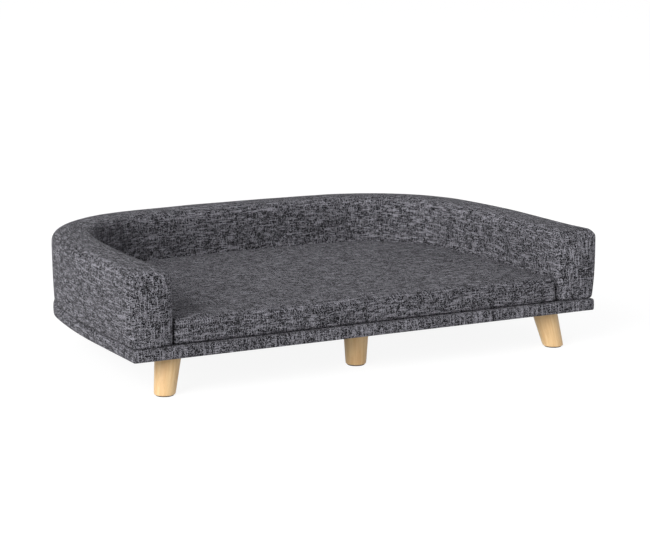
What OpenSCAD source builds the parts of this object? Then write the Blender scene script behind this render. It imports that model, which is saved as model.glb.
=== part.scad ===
// Raised dog sofa bed: a fabric-covered D-shaped base on six turned wooden legs, with a
// padded rim round its sides and back, and a loose zipped cushion inside the rim.
// Millimetres. The origin is on the floor under the middle, and the front faces -Y.

/* [Overall] */
// Width across the base
body_w = 1000; // [900:10:1200]
// Depth from the front edge to the middle of the back
body_d = 675; // [620:5:800]
// Height of the rim above the base
rim_h = 140; // [120:5:200]
// Thickness of the rim from outside to inside
rim_t = 81; // [76:1:96]

/* [Plan outline] */
// Radius of the two back corners
corner_r = 278; // [240:2:310]
// Radius of the gently bowed back
back_r = 2570; // [2000:10:4000]
// Radius of the slight bow in each side
side_r = 1655; // [1300:5:2400]
// Sweep of that bow in degrees
side_deg = 8.6; // [6:0.1:10]
// Radius of the two front corners of the base
front_corner_r = 4; // [2:0.5:8]

/* [Base] */
// Thickness of the upholstery fabric
fabric_t = 1.5; // [1:0.1:2.5]
// Thickness of the plywood board
board_t = 15; // [14:1:24]
// Thickness of the wadding on top of the board
wadding_t = 5.2; // [3:0.2:10]
// Thickness of the wadding round the edge of the board
edge_wadding_t = 3; // [2:0.5:6]
// Width of the fabric turned under the board
hem_w = 45; // [42:1:70]
// Thickness of the dust cover under the base
dust_t = 0.8; // [0.5:0.1:1.5]
// Distance from the edge of the base to the edge of the dust cover
dust_in = 9; // [6:1:12]

/* [Legs] */
// Height from the floor to the underside of the base, with the glide
leg_h = 73; // [60:1:120]
// Diameter at the top of a leg
leg_top_d = 50; // [44:1:56]
// Diameter at the foot of a leg
leg_foot_d = 40; // [36:1:44]
// Lean of the corner legs in degrees
leg_splay_deg = 15.5; // [8:0.5:18]
// Bevel round the foot
foot_bevel = 2.5; // [1:0.5:4]
// From the side of the base to the top of a front corner leg
front_leg_side_in = 88; // [70:1:110]
// From the front of the base to the top of a front corner leg
front_leg_in = 50; // [48:1:80]
// From the front or the back of the base to a middle leg
middle_leg_in = 84; // [76:1:140]
// From the side of the base to the top of a rear corner leg
rear_leg_side_in = 182; // [160:1:220]
// From the back of the base to the top of a rear corner leg
rear_leg_in = 111; // [100:1:160]
// Diameter of a felt glide
glide_d = 34; // [24:1:35]
// Thickness of a felt glide
glide_t = 2; // [1.5:0.5:4]

/* [Rim] */
// Distance from the edge of the base to the outer face of the rim
rim_in = 2; // [1:0.5:6]
// Distance from the front of the base to the fronts of the arms
arm_front_in = 1.5; // [1:0.5:10]
// Rounding of the rim's two top edges
rim_top_r = 17; // [10:1:26]
// Rounding of the edges round the front of each arm
arm_end_r = 12; // [8:1:16]
// Thickness of the foam on the outer face
outer_foam_t = 8; // [6:1:12]
// Thickness of the foam on the inner face
inner_foam_t = 16; // [12:1:20]
// Thickness of the foam on the top
top_foam_t = 20; // [16:1:30]
// Thickness of the foam on the front of each arm
front_foam_t = 12; // [10:1:20]
// Thickness of the hardboard facings
facing_t = 3; // [2.5:0.5:5]
// Thickness of the plywood rails
rail_t = 12; // [10:1:18]
// Length of an upright block along the rim
upright_l = 40; // [30:1:50]
// Width of the cover turned under outside the bottom rail
rim_hem_out_w = 20; // [18:1:24]
// Width of the cover turned under inside the bottom rail
rim_hem_in_w = 32; // [30:1:34]

/* [Cushion] */
// Thickness of the cushion at its edges
cushion_t = 47; // [44:1:80]
// Rise of the crown above the edges
cushion_crown = 3; // [1:0.5:12]
// Gap between the cushion and the rim
cushion_gap = 1.5; // [1:0.5:4]
// Distance from the front of the base to the front of the cushion
cushion_front_in = 8; // [4:1:20]
// Rounding of the cushion's top and bottom edges
cushion_edge_r = 8; // [6:0.5:9]
// Rounding of the cushion's front corners, seen from above
cushion_corner_r = 14; // [12:1:30]
// Draw of the sides halfway up
side_draw = 2.5; // [1:0.5:4]
// Further draw along the back, where the zip lies
zip_draw = 4.5; // [4:0.5:8]

/* [Zip] */
// Length of the zip
zip_l = 400; // [260:5:420]
// Width of each half of the zip's tape
tape_w = 13; // [12:0.5:14]
// Thickness of the tape
tape_t = 0.8; // [0.6:0.1:1.2]
// Width of one half of the coil
coil_w = 2.5; // [2:0.1:3]
// Height of the coil
coil_t = 2.2; // [1.8:0.1:2.6]
// Gap between the halves for the slider's post
zip_slit = 1; // [0.8:0.1:1.4]
// Length of the slider
slider_l = 14; // [10:1:20]

/* [Fasteners] */
// Shank of the screws that hold the rim
screw_d = 5; // [4:0.5:6]
// Length of the screws that hold the rim
rim_screw_l = 60; // [50:1:70]
// Length of the screws in the top rail
rail_screw_l = 50; // [35:1:60]
// Diameter of the leg studs
stud_d = 8; // [6:1:10]
// Length of a stud inside its leg
stud_leg_l = 28; // [20:1:34]
// Length of a stud above its leg
stud_nut_l = 14; // [12:1:15]
// Crown width of a staple
staple_w = 10; // [8:1:14]
// Leg length of a staple
staple_l = 8; // [6:1:10]
// Spacing of the staples
staple_spacing = 90; // [50:5:120]

/* [Hidden] */

// Colours
CHARCOAL = [0.35, 0.35, 0.37];
CHARCOAL_TOP = [0.40, 0.40, 0.42];
FOAM = [0.93, 0.90, 0.78];
WADDING = [0.92, 0.92, 0.92];
PLYWOOD = [0.78, 0.64, 0.45];
PINE = [0.93, 0.80, 0.60];
HARDBOARD = [0.47, 0.33, 0.22];
DUST_BLACK = [0.10, 0.10, 0.11];
STEEL = [0.72, 0.73, 0.75];
FELT = [0.20, 0.19, 0.18];
NYLON = [0.16, 0.16, 0.17];

// How finely arcs, screws and rounded edges are divided, and the most that a chord of the
// back's arc departs from it
arc_fn = 1440;
round_fn = 48;
edge_steps = 4;
plan_sag = 0.17;
cushion_sag = 0.3;
least_round_share = 0.3;

// Clearances and the overrun of a cut past the face that it opens
overrun = 2;
layer_gap = 0.3;
facing_gap = 0.1;
bore_gap = 0.1;
rest_gap = 0.3;

// Heights of the layers of the base, from the floor up
dust_z = leg_h;
hem_z = dust_z + dust_t;
board_z = hem_z + fabric_t;
wadding_z = board_z + board_t;
base_top_z = wadding_z + wadding_t + fabric_t;
rim_top_z = base_top_z + rim_h;

// Edges of the plan
front_y = -body_d / 2;
side_x = -body_w / 2;

// Centres of the back arc, of the left corner arc and of the left side arc.
// Each arc is tangent to the next, so the corner's centre follows from the other two.
back_c = [0, body_d / 2 - back_r];
corner_x = side_x + side_r - (side_r - corner_r) * cos(side_deg);
corner_c = [corner_x, back_c.y + sqrt(pow(back_r - corner_r, 2) - pow(corner_x, 2))];
side_c = [side_x + side_r, corner_c.y - (side_r - corner_r) * sin(side_deg)];
// Angles at which the side arc and the back arc meet the corner arc
side_end_a = 180 - side_deg;
back_end_a = atan2(corner_c.y - back_c.y, corner_c.x - back_c.x);

// Steps along half of the back, so that no chord departs from the arc by more than `sag`
function back_steps(sag) = ceil((back_end_a - 90) / (2 * acos(1 - sag / back_r)));

// Steps round a front corner, a side arc, a back corner and half of the back
plan_steps = [3, 3, 12, back_steps(plan_sag)];
cushion_steps = [2, 3, 9, back_steps(cushion_sag)];

// Places across the rim, measured inward from the edge of the base
rim_in_face = rim_in + rim_t;
outer_facing_u = rim_in + fabric_t + outer_foam_t;
rail_out_u = outer_facing_u + facing_t + facing_gap;
inner_facing_u = rim_in_face - fabric_t - inner_foam_t - facing_t;
rail_in_u = inner_facing_u - facing_gap;
rail_mid_u = (rail_out_u + rail_in_u) / 2;
upright_gap = 1.5;
upright_w = rail_in_u - rail_out_u - 2 * upright_gap;

// Heights and front of the rim's frame
rail_z = base_top_z + fabric_t;
upright_z = rail_z + rail_t;
frame_top_z = rim_top_z - fabric_t - top_foam_t;
top_rail_z = frame_top_z - rail_t;
frame_front_in = arm_front_in + fabric_t + front_foam_t;

// Where the uprights stand: shares of each arc's sweep, from the front round to the back
side_upright_shares = [0.4];
corner_upright_shares = [0.15, 0.65];
back_upright_shares = [0.3];

// The cushion
cushion_in = rim_in_face + cushion_gap;
cushion_z = base_top_z + rest_gap;
cushion_mid_z = cushion_z + cushion_t / 2;
cushion_mid_y = (front_y + cushion_front_in + body_d / 2 - cushion_in) / 2;
// Inward places and heights of the crown's rings, as shares
crown_in_shares = [0.25, 0.6];
crown_rise_shares = [0.45, 0.8];
crown_shrink_shares = [0.35, 0.75];
crown_top_shares = [0.93, 1];
crown_reach = 130;
corner_spread_share = 0.35;
recess_start_share = 0.6;

// The zip: heights on the cushion and radii about the back arc's centre
zip_half_a = zip_l / 2 / back_r * 180 / PI;
recess_r = back_r - cushion_in - side_draw - zip_draw;
tape_gap = 0.5;
tape_out_r = recess_r - fabric_t - tape_gap;
coil_gap = 0.05;
coil_in_r = tape_out_r + coil_gap;
band_h = 12;
slot_margin = 2;
slot_h = 2 * coil_w + zip_slit + 2 * slot_margin + 2 * fabric_t;
slider_plate_t = 1.2;
slider_flange_t = 1.1;
slider_gap = 0.2;
post_l = 4;
post_gap = 0.15;
stop_l = 2.5;
slider_w = 2 * coil_w + zip_slit + 2 * slider_gap + 2 * slider_flange_t;
slider_end_gap = 0.5;
slider_rest_a = 90 - zip_half_a + (stop_l + slider_l / 2 + slider_end_gap) / recess_r * 180 / PI;
foam_groove_t = tape_t + slider_gap + slider_plate_t + 2 * layer_gap;

// Fasteners
screw_head_d = 2 * screw_d;
screw_head_t = 3;
hole_gap = 0.25;
nut_flange_d = 20;
nut_flange_t = 1.5;
nut_wall_t = 1;
nut_l = 11;
prong_w = 2.4;
prong_t = 1.2;
prong_l = 6;
prong_in = 1.6;
prong_as = [45, 135, 225, 315];
wire_w = 1;
wire_t = 0.7;
hem_staple_in = 24;
dust_staple_in = 15;
rim_staple_out_in = 18;
rim_staple_in_in = rim_in_face - rim_hem_in_w + (rail_in_u - rim_in_face + rim_hem_in_w) / 2;

// Tops of the six legs, and the way each leans: 0 is upright
front_leg_x = body_w / 2 - front_leg_side_in;
rear_leg_x = body_w / 2 - rear_leg_side_in;
FRONT_LEFT = [-front_leg_x, front_y + front_leg_in, 225, leg_splay_deg];
FRONT_MIDDLE = [0, front_y + middle_leg_in, 0, 0];
FRONT_RIGHT = [front_leg_x, front_y + front_leg_in, 315, leg_splay_deg];
REAR_LEFT = [-rear_leg_x, body_d / 2 - rear_leg_in, 135, leg_splay_deg];
REAR_MIDDLE = [0, body_d / 2 - middle_leg_in, 0, 0];
REAR_RIGHT = [rear_leg_x, body_d / 2 - rear_leg_in, 45, leg_splay_deg];
LEGS = [FRONT_LEFT, FRONT_MIDDLE, FRONT_RIGHT, REAR_LEFT, REAR_MIDDLE, REAR_RIGHT];

// Points along an arc, from step `first` to its end
function arc(c, r, a0, a1, n, first = 0) =
    [for (i = [first:n]) let (a = a0 + (a1 - a0) * i / n) [c.x + r * cos(a), c.y + r * sin(a)]];

// How far along the corner arc the recess for the zip has opened, from 0 to 1
function recess_share(t) = max(0, (t - recess_start_share) / (1 - recess_start_share));

// Left half of the plan, `inset` inside the edge of the base, from the front to the middle
// of the back. `front_r` rounds the front corner and `draw` pulls the back in further.
function left_half(inset, front_in, front_r, steps, draw) =
    let (
        corner = [side_x + inset + front_r, front_y + front_in + front_r],
        n = steps[2],
        sweep = side_end_a - back_end_a
    )
    concat(
        arc(corner, front_r, 270, 180, steps[0]),
        arc(side_c, side_r - inset, 180, side_end_a, steps[1]),
        [for (i = [1:n]) let (
            a = side_end_a - sweep * i / n,
            r = corner_r - inset - draw * recess_share(i / n)
        ) [corner_c.x + r * cos(a), corner_c.y + r * sin(a)]],
        arc(back_c, back_r - inset - draw, back_end_a, 90, steps[3], 1)
    );

// The whole plan, clockwise from the left end of the front edge
function outline(inset, front_in, front_r, steps, draw = 0) =
    let (half = left_half(inset, front_in, front_r, steps, draw))
    concat(half, [for (i = [len(half) - 2:-1:0]) [-half[i].x, half[i].y]]);

// A flat plate of the base's shape
module plate(inset, z0, z1) {
    round_r = max(front_corner_r - inset, fabric_t);
    translate([0, 0, z0])
        linear_extrude(z1 - z0)
            polygon(outline(inset, inset, round_r, plan_steps));
}

// A closed surface through rings of equal length, the lowest ring first
module loft(rings) {
    n = len(rings[0]);
    last = (len(rings) - 1) * n;
    polyhedron(
        points = [for (ring = rings) for (p = ring) p],
        faces = concat(
            [[for (i = [n - 1:-1:0]) i]],
            [for (k = [0:len(rings) - 2]) for (i = [0:n - 1])
                [k * n + i, k * n + (i + 1) % n, (k + 1) * n + (i + 1) % n]],
            [for (k = [0:len(rings) - 2]) for (i = [0:n - 1])
                [k * n + i, (k + 1) * n + (i + 1) % n, (k + 1) * n + i]],
            [[for (i = [0:n - 1]) last + i]]
        )
    );
}

// Upright section of the rim: across it from u1 out to u0, with both top edges rounded by r
function rim_profile(u0, u1, z0, z1, r) =
    concat(
        [[u1, z0]],
        arc([u1 - r, z1 - r], r, 0, 90, edge_steps),
        arc([u0 + r, z1 - r], r, 90, 180, edge_steps),
        [[u0, z0]]
    );

// Stations along the rim: [centre x, centre y, radius, angle, shrink]. A point of a section
// lies at the radius less its distance in from the edge of the base. Shrink draws a section
// in to round the front of an arm.
function left_stations(front_in, end_r) =
    let (
        y0 = front_y + front_in,
        side_n = plan_steps[1],
        corner_n = plan_steps[2],
        back_n = plan_steps[3],
        corner_sweep = back_end_a - side_end_a
    )
    concat(
        [for (t = [0:90 / edge_steps:90])
            [side_c.x, y0 + end_r * (1 - cos(t)), side_r, 180, end_r * (1 - sin(t))]],
        [for (i = [0:side_n])
            [side_c.x, side_c.y, side_r, 180 - side_deg * i / side_n, 0]],
        [for (i = [1:corner_n])
            [corner_c.x, corner_c.y, corner_r, side_end_a + corner_sweep * i / corner_n, 0]],
        [for (i = [1:back_n])
            [back_c.x, back_c.y, back_r, back_end_a + (90 - back_end_a) * i / back_n, 0]]
    );

function stations(front_in, end_r) =
    let (left = left_stations(front_in, end_r))
    concat(left, [for (i = [len(left) - 2:-1:0]) let (s = left[i])
        [-s[0], s[1], s[2], 180 - s[3], s[4]]]);

function at_station(s, u) = [s[0] + (s[2] - u) * cos(s[3]), s[1] + (s[2] - u) * sin(s[3])];

// The rounded section carried round the arms, the corners and the back
module rim_sweep(u0, u1, z0, z1, top_r, front_in, end_r) {
    loft([for (s = stations(front_in, end_r))
        let (
            k = s[4],
            r = max(top_r - k, top_r * least_round_share)
        )
        [for (p = rim_profile(u0 + k, u1 - k, z0, z1 - k, r))
            let (q = at_station(s, p.x))
            [q.x, q.y, p.y]]
    ]);
}

// A place on an arc, `u` in from the edge of the base: [x, y, direction of the outer side]
function on_arc(c, r, a, u) = [c.x + (r - u) * cos(a), c.y + (r - u) * sin(a), a];

// Places halfway along each of `n` steps of an arc
function halfway(c, r, a0, a1, u, n) =
    [for (i = [0:n - 1]) on_arc(c, r, a0 + (a1 - a0) * (i + 0.5) / n, u)];

// One edge of a strip along the rim. Its corners lie between the stations of the rounded
// sweep, so that a strip cut from the sweep doesn't graze the joints of its surface.
function strip_edge(u, front_in) =
    let (left = concat(
        [[side_x + u, front_y + front_in]],
        halfway(side_c, side_r, 180, side_end_a, u, plan_steps[1]),
        halfway(corner_c, corner_r, side_end_a, back_end_a, u, plan_steps[2]),
        halfway(back_c, back_r, back_end_a, 90, u, plan_steps[3])
    ))
    concat(
        [for (p = left) [p.x, p.y]],
        [for (i = [len(left) - 1:-1:0]) [-left[i].x, left[i].y]]
    );

// A square-edged strip along the rim, from u0 to u1 across it
module rim_strip(u0, u1, z0, z1, front_in) {
    edge = strip_edge(u1, front_in);
    translate([0, 0, z0])
        linear_extrude(z1 - z0)
            polygon(concat(
                strip_edge(u0, front_in),
                [for (i = [len(edge) - 1:-1:0]) edge[i]]
            ));
}

function mirrored(places) = [for (p = places) [-p.x, p.y, 180 - p.z]];

left_uprights = concat(
    [[side_x + rail_mid_u, front_y + frame_front_in + upright_l / 2, 180]],
    [for (s = side_upright_shares) on_arc(side_c, side_r, 180 - side_deg * s, rail_mid_u)],
    [for (s = corner_upright_shares)
        on_arc(corner_c, corner_r, side_end_a + (back_end_a - side_end_a) * s, rail_mid_u)],
    [for (s = back_upright_shares)
        on_arc(back_c, back_r, back_end_a + (90 - back_end_a) * s, rail_mid_u)]
);
UPRIGHTS = concat(
    left_uprights,
    [on_arc(back_c, back_r, 90, rail_mid_u)],
    mirrored(left_uprights)
);

// Evenly spaced places along an arc
function spaced(c, r, a0, a1, u, pitch) =
    halfway(c, r, a0, a1, u, max(1, round((r - u) * abs(a1 - a0) * PI / 180 / pitch)));

// Evenly spaced places round the arms, the corners and the back, `u` in from the edge
function along_rim(u, y0, pitch) =
    let (
        run = side_c.y - y0,
        n = max(1, round(run / pitch)),
        half = concat(
            [for (i = [0:n - 1]) [side_x + u, y0 + run * (i + 0.5) / n, 180]],
            spaced(side_c, side_r, 180, side_end_a, u, pitch),
            spaced(corner_c, corner_r, side_end_a, back_end_a, u, pitch),
            spaced(back_c, back_r, back_end_a, 90, u, pitch)
        )
    )
    concat(half, mirrored(half));

// Evenly spaced places along the front edge of the base
function along_front(u, pitch) =
    let (
        run = body_w - 4 * u,
        n = max(1, round(run / pitch))
    )
    [for (i = [0:n]) [-run / 2 + run * i / n, front_y + u, 270]];

module at_places(places, z) {
    for (p = places)
        translate([p.x, p.y, z])
            rotate([0, 0, p.z])
                children();
}

// A staple driven upward, with the underside of its crown at z 0
module staple() {
    outer = staple_w / 2;
    inner = outer - wire_w;
    translate([-wire_w / 2, 0, 0])
        rotate([90, 0, 90])
            linear_extrude(wire_w)
                polygon([
                    [-outer, 0], [outer, 0], [outer, staple_l], [inner, staple_l],
                    [inner, wire_t], [-inner, wire_t], [-inner, staple_l], [-outer, staple_l]
                ]);
}

// A countersunk screw pointing up, its head flush at z 0; `gap` makes its hole
module screw(length, gap = 0) {
    head_r = screw_head_d / 2 + gap;
    shank_r = screw_d / 2 + gap;
    translate([0, 0, -gap])
        cylinder(h = screw_head_t + gap, r1 = head_r, r2 = shank_r, $fn = round_fn);
    translate([0, 0, screw_head_t - gap])
        cylinder(h = length - screw_head_t + 2 * gap, r = shank_r, $fn = round_fn);
}

module rim_screw_holes() {
    at_places(UPRIGHTS, hem_z) {
        screw(rim_screw_l, hole_gap);
        translate([0, 0, -overrun])
            cylinder(h = overrun, d = screw_head_d + 2 * hole_gap, $fn = round_fn);
    }
}

module rail_screw_holes() {
    at_places(UPRIGHTS, frame_top_z)
        mirror([0, 0, 1])
            screw(rail_screw_l, hole_gap);
}

// Straight holes on the axes of the leg studs, from z0 up to z1
module stud_holes(d, z0, z1) {
    for (leg = LEGS)
        translate([leg.x, leg.y, z0])
            cylinder(h = z1 - z0, d = d, $fn = round_fn);
}

module base_board() {
    edge = fabric_t + edge_wadding_t;
    color(PLYWOOD)
        difference() {
            plate(edge, board_z, wadding_z);
            stud_holes(stud_d + 2 * nut_wall_t + 2 * bore_gap, board_z - overrun, wadding_z);
            stud_holes(nut_flange_d + 2 * bore_gap, wadding_z - nut_flange_t, wadding_z + overrun);
            rim_screw_holes();
        }
}

// Wadding over the top of the board and down its edge
module base_wadding() {
    color(WADDING)
        difference() {
            plate(fabric_t, board_z, base_top_z - fabric_t);
            plate(fabric_t + edge_wadding_t, board_z - overrun, wadding_z);
            rim_screw_holes();
        }
}

// Fabric over the base, turned under to a hem
module base_cover() {
    color(CHARCOAL)
        difference() {
            plate(0, hem_z, base_top_z);
            plate(fabric_t, board_z, base_top_z - fabric_t);
            plate(hem_w, hem_z - overrun, board_z + overrun);
            rim_screw_holes();
        }
}

module dust_cover() {
    color(DUST_BLACK)
        difference() {
            plate(dust_in, dust_z, hem_z);
            stud_holes(stud_d + 2 * hole_gap, dust_z - overrun, hem_z + overrun);
        }
}

// Staples through the hem of the base cover, flush with the hem
module cover_staples() {
    color(STEEL)
        at_places(concat(
            along_rim(hem_staple_in, front_y + 2 * hem_staple_in, staple_spacing),
            along_front(hem_staple_in, staple_spacing)
        ), hem_z)
            staple();
}

// Staples round the edge of the dust cover, with their crowns under it
module dust_cover_staples() {
    color(STEEL)
        at_places(concat(
            along_rim(dust_staple_in, front_y + 2 * dust_staple_in, staple_spacing),
            along_front(dust_staple_in, staple_spacing)
        ), dust_z - wire_t)
            staple();
}

module tee_nuts() {
    barrel_d = stud_d + 2 * nut_wall_t;
    cut_h = nut_flange_t + nut_l + 2 * overrun;
    prong_r = nut_flange_d / 2 - prong_in - prong_t / 2;
    color(STEEL)
        for (leg = LEGS)
            translate([leg.x, leg.y, wadding_z])
                mirror([0, 0, 1])
                    difference() {
                        union() {
                            cylinder(h = nut_flange_t, d = nut_flange_d, $fn = round_fn);
                            cylinder(h = nut_flange_t + nut_l, d = barrel_d, $fn = round_fn);
                            for (a = prong_as)
                                rotate([0, 0, a])
                                    translate([prong_r, -prong_w / 2, 0])
                                        cube([prong_t, prong_w, nut_flange_t + prong_l]);
                        }
                        translate([0, 0, -overrun])
                            cylinder(h = cut_h, d = stud_d + bore_gap, $fn = round_fn);
                    }
}

// Hanger studs: the lower end in the leg, the upper end in the tee nut
module leg_studs() {
    color(STEEL)
        for (leg = LEGS)
            translate([leg.x, leg.y, leg_h - stud_leg_l])
                cylinder(h = stud_leg_l + stud_nut_l, d = stud_d, $fn = round_fn);
}

// Where a leg's foot stands, beside the place of its top
function foot_shift(leg) =
    let (shift = (leg_h - glide_t) * tan(leg[3]))
    [shift * cos(leg[2]), shift * sin(leg[2])];

// A turned leg, tapered along its leaning axis and sawn level at both ends
module leg(place) {
    length = leg_h - glide_t;
    slope = (leg_top_d - leg_foot_d) / 2 / length;
    spare = leg_top_d / 2;
    foot = foot_shift(place);
    color(PINE)
        translate([place.x, place.y, 0])
            difference() {
                intersection() {
                    translate([0, 0, leg_h])
                        rotate([0, 0, place[2]])
                            rotate([0, -place[3], 0])
                                translate([0, 0, -length - spare])
                                    cylinder(
                                        h = length + 2 * spare,
                                        r1 = leg_foot_d / 2 - spare * slope,
                                        r2 = leg_top_d / 2 + spare * slope,
                                        $fn = round_fn
                                    );
                    translate([-leg_top_d, -leg_top_d, glide_t])
                        cube([2 * leg_top_d, 2 * leg_top_d, length]);
                    translate([foot.x, foot.y, glide_t])
                        cylinder(
                            h = length,
                            r1 = leg_foot_d / 2 - foot_bevel,
                            r2 = leg_foot_d / 2 - foot_bevel + length,
                            $fn = round_fn
                        );
                }
                translate([0, 0, leg_h - stud_leg_l - bore_gap])
                    cylinder(h = stud_leg_l + bore_gap + overrun, d = stud_d + bore_gap, $fn = round_fn);
            }
}

module leg_glides() {
    color(FELT)
        for (leg = LEGS)
            translate([leg.x + foot_shift(leg).x, leg.y + foot_shift(leg).y, 0])
                cylinder(h = glide_t, d = glide_d, $fn = round_fn);
}

module rim_bottom_rail() {
    color(PLYWOOD)
        difference() {
            rim_strip(rail_out_u, rail_in_u, rail_z, upright_z, frame_front_in);
            rim_screw_holes();
        }
}

module rim_top_rail() {
    color(PLYWOOD)
        difference() {
            rim_strip(rail_out_u, rail_in_u, top_rail_z, frame_top_z, frame_front_in);
            rail_screw_holes();
        }
}

module rim_uprights() {
    color(PINE)
        difference() {
            at_places(UPRIGHTS, upright_z)
                translate([-upright_w / 2, -upright_l / 2, 0])
                    cube([upright_w, upright_l, top_rail_z - upright_z]);
            rim_screw_holes();
            rail_screw_holes();
        }
}

module rim_outer_facing() {
    u1 = outer_facing_u + facing_t;
    color(HARDBOARD)
        rim_strip(outer_facing_u, u1, rail_z, frame_top_z, frame_front_in);
}

module rim_inner_facing() {
    u1 = inner_facing_u + facing_t;
    color(HARDBOARD)
        rim_strip(inner_facing_u, u1, rail_z, frame_top_z, frame_front_in);
}

// One layer of foam over both faces, the top and the arm fronts of the frame
module rim_foam() {
    skin = fabric_t + layer_gap;
    u0 = outer_facing_u - layer_gap;
    u1 = inner_facing_u + facing_t + layer_gap;
    front = arm_front_in + skin;
    color(FOAM)
        difference() {
            rim_sweep(
                rim_in + skin, rim_in_face - skin, rail_z, rim_top_z - skin,
                rim_top_r - skin, front, arm_end_r - skin
            );
            rim_strip(u0, u1, rail_z - overrun, frame_top_z, frame_front_in - layer_gap);
        }
}

// Fabric over the foam, turned under the bottom rail on both sides
module rim_cover() {
    front = arm_front_in + fabric_t;
    hem_u0 = rim_in + rim_hem_out_w;
    hem_u1 = rim_in_face - rim_hem_in_w;
    color(CHARCOAL)
        difference() {
            rim_sweep(
                rim_in, rim_in_face, base_top_z, rim_top_z,
                rim_top_r, arm_front_in, arm_end_r
            );
            rim_sweep(
                rim_in + fabric_t, rim_in_face - fabric_t, rail_z, rim_top_z - fabric_t,
                rim_top_r - fabric_t, front, arm_end_r - fabric_t
            );
            rim_strip(
                hem_u0, hem_u1, base_top_z - overrun, rail_z + overrun,
                arm_front_in + rim_hem_out_w
            );
        }
}

// Staples through both hems of the rim cover into the bottom rail
module rim_cover_staples() {
    y0 = front_y + frame_front_in + staple_w;
    color(STEEL)
        at_places(concat(
            along_rim(rim_staple_out_in, y0, staple_spacing),
            along_rim(rim_staple_in_in, y0, staple_spacing)
        ), base_top_z)
            staple();
}

module rim_screws() {
    color(STEEL)
        at_places(UPRIGHTS, hem_z)
            screw(rim_screw_l);
}

module rail_screws() {
    color(STEEL)
        at_places(UPRIGHTS, frame_top_z)
            mirror([0, 0, 1])
                screw(rail_screw_l);
}

// One ring of the cushion's surface at height z
function cushion_ring(u, z, draw) =
    let (plan = outline(
        cushion_in + u, cushion_front_in + u,
        cushion_corner_r + u * corner_spread_share, cushion_steps, draw
    ))
    [for (p = plan) [p.x, p.y, z]];

// The same ring drawn in to its middle by a share, at height z
function shrunk(ring, share, z) = [for (p = ring) [
    p.x * (1 - share),
    cushion_mid_y + (p.y - cushion_mid_y) * (1 - share),
    z
]];

// Rings of the cushion from its flat underside to the top of its crown, `skin` inside it
function cushion_rings(skin) =
    let (
        z0 = cushion_z + skin,
        z1 = cushion_z + cushion_t - skin,
        r = cushion_edge_r - skin,
        bend = r * (1 - cos(45)),
        band0 = cushion_mid_z - band_h,
        band1 = cushion_mid_z + band_h,
        inner = cushion_ring(crown_reach, z1, 0)
    )
    concat(
        [
            cushion_ring(skin + r, z0, 0),
            cushion_ring(skin + bend, z0 + bend, 0),
            cushion_ring(skin, z0 + r, 0),
            cushion_ring(skin + side_draw, band0, zip_draw),
            cushion_ring(skin + side_draw, band1, zip_draw),
            cushion_ring(skin, z1 - r, 0),
            cushion_ring(skin + bend, z1 - bend, 0),
            cushion_ring(skin + r, z1, 0)
        ],
        [for (i = [0:len(crown_in_shares) - 1])
            cushion_ring(
                crown_reach * crown_in_shares[i],
                z1 + cushion_crown * crown_rise_shares[i], 0
            )],
        [for (i = [0:len(crown_shrink_shares) - 1])
            shrunk(inner, crown_shrink_shares[i], z1 + cushion_crown * crown_top_shares[i])]
    );

// A strip along the back of the cushion, from radius r0 to r1 and height z0 to z1
module back_strip(r0, r1, z0, z1, half_a) {
    translate([back_c.x, back_c.y, 0])
        rotate([0, 0, 90 - half_a])
            rotate_extrude(angle = 2 * half_a, $fn = arc_fn)
                polygon([[r0, z0], [r1, z0], [r1, z1], [r0, z1]]);
}

// Foam block, with a groove behind the zip
module cushion_foam() {
    z0 = cushion_mid_z - tape_w - zip_slit;
    z1 = cushion_mid_z + tape_w + zip_slit;
    half_a = zip_half_a + stop_l / recess_r * 180 / PI;
    color(FOAM)
        difference() {
            loft(cushion_rings(fabric_t + layer_gap));
            back_strip(tape_out_r - foam_groove_t, back_r, z0, z1, half_a);
        }
}

// Removable cover, open along the zip
module cushion_cover() {
    color(CHARCOAL_TOP)
        difference() {
            loft(cushion_rings(0));
            loft(cushion_rings(fabric_t));
            back_strip(
                tape_out_r, back_r,
                cushion_mid_z - slot_h / 2, cushion_mid_z + slot_h / 2, zip_half_a
            );
        }
}

module zip_tape() {
    low = cushion_mid_z - zip_slit / 2;
    high = cushion_mid_z + zip_slit / 2;
    color(NYLON) {
        back_strip(tape_out_r - tape_t, tape_out_r, low - tape_w, low, zip_half_a);
        back_strip(tape_out_r - tape_t, tape_out_r, high, high + tape_w, zip_half_a);
    }
}

module zip_coil() {
    low = cushion_mid_z - zip_slit / 2;
    high = cushion_mid_z + zip_slit / 2;
    coil_r = coil_in_r + coil_t;
    half_a = zip_half_a - stop_l / recess_r * 180 / PI;
    color(NYLON) {
        back_strip(coil_in_r, coil_r, low - coil_w, low, half_a);
        back_strip(coil_in_r, coil_r, high, high + coil_w, half_a);
    }
}

// A stop across both halves of the coil at each end
module zip_stops() {
    half_h = coil_w + zip_slit / 2;
    color(STEEL)
        for (side = [-1, 1])
            translate([back_c.x, back_c.y, cushion_mid_z - half_h])
                rotate([0, 0, 90 + side * zip_half_a])
                    translate([coil_in_r, side > 0 ? -stop_l : coil_gap, 0])
                        cube([coil_t, stop_l - coil_gap, 2 * half_h]);
}

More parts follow.
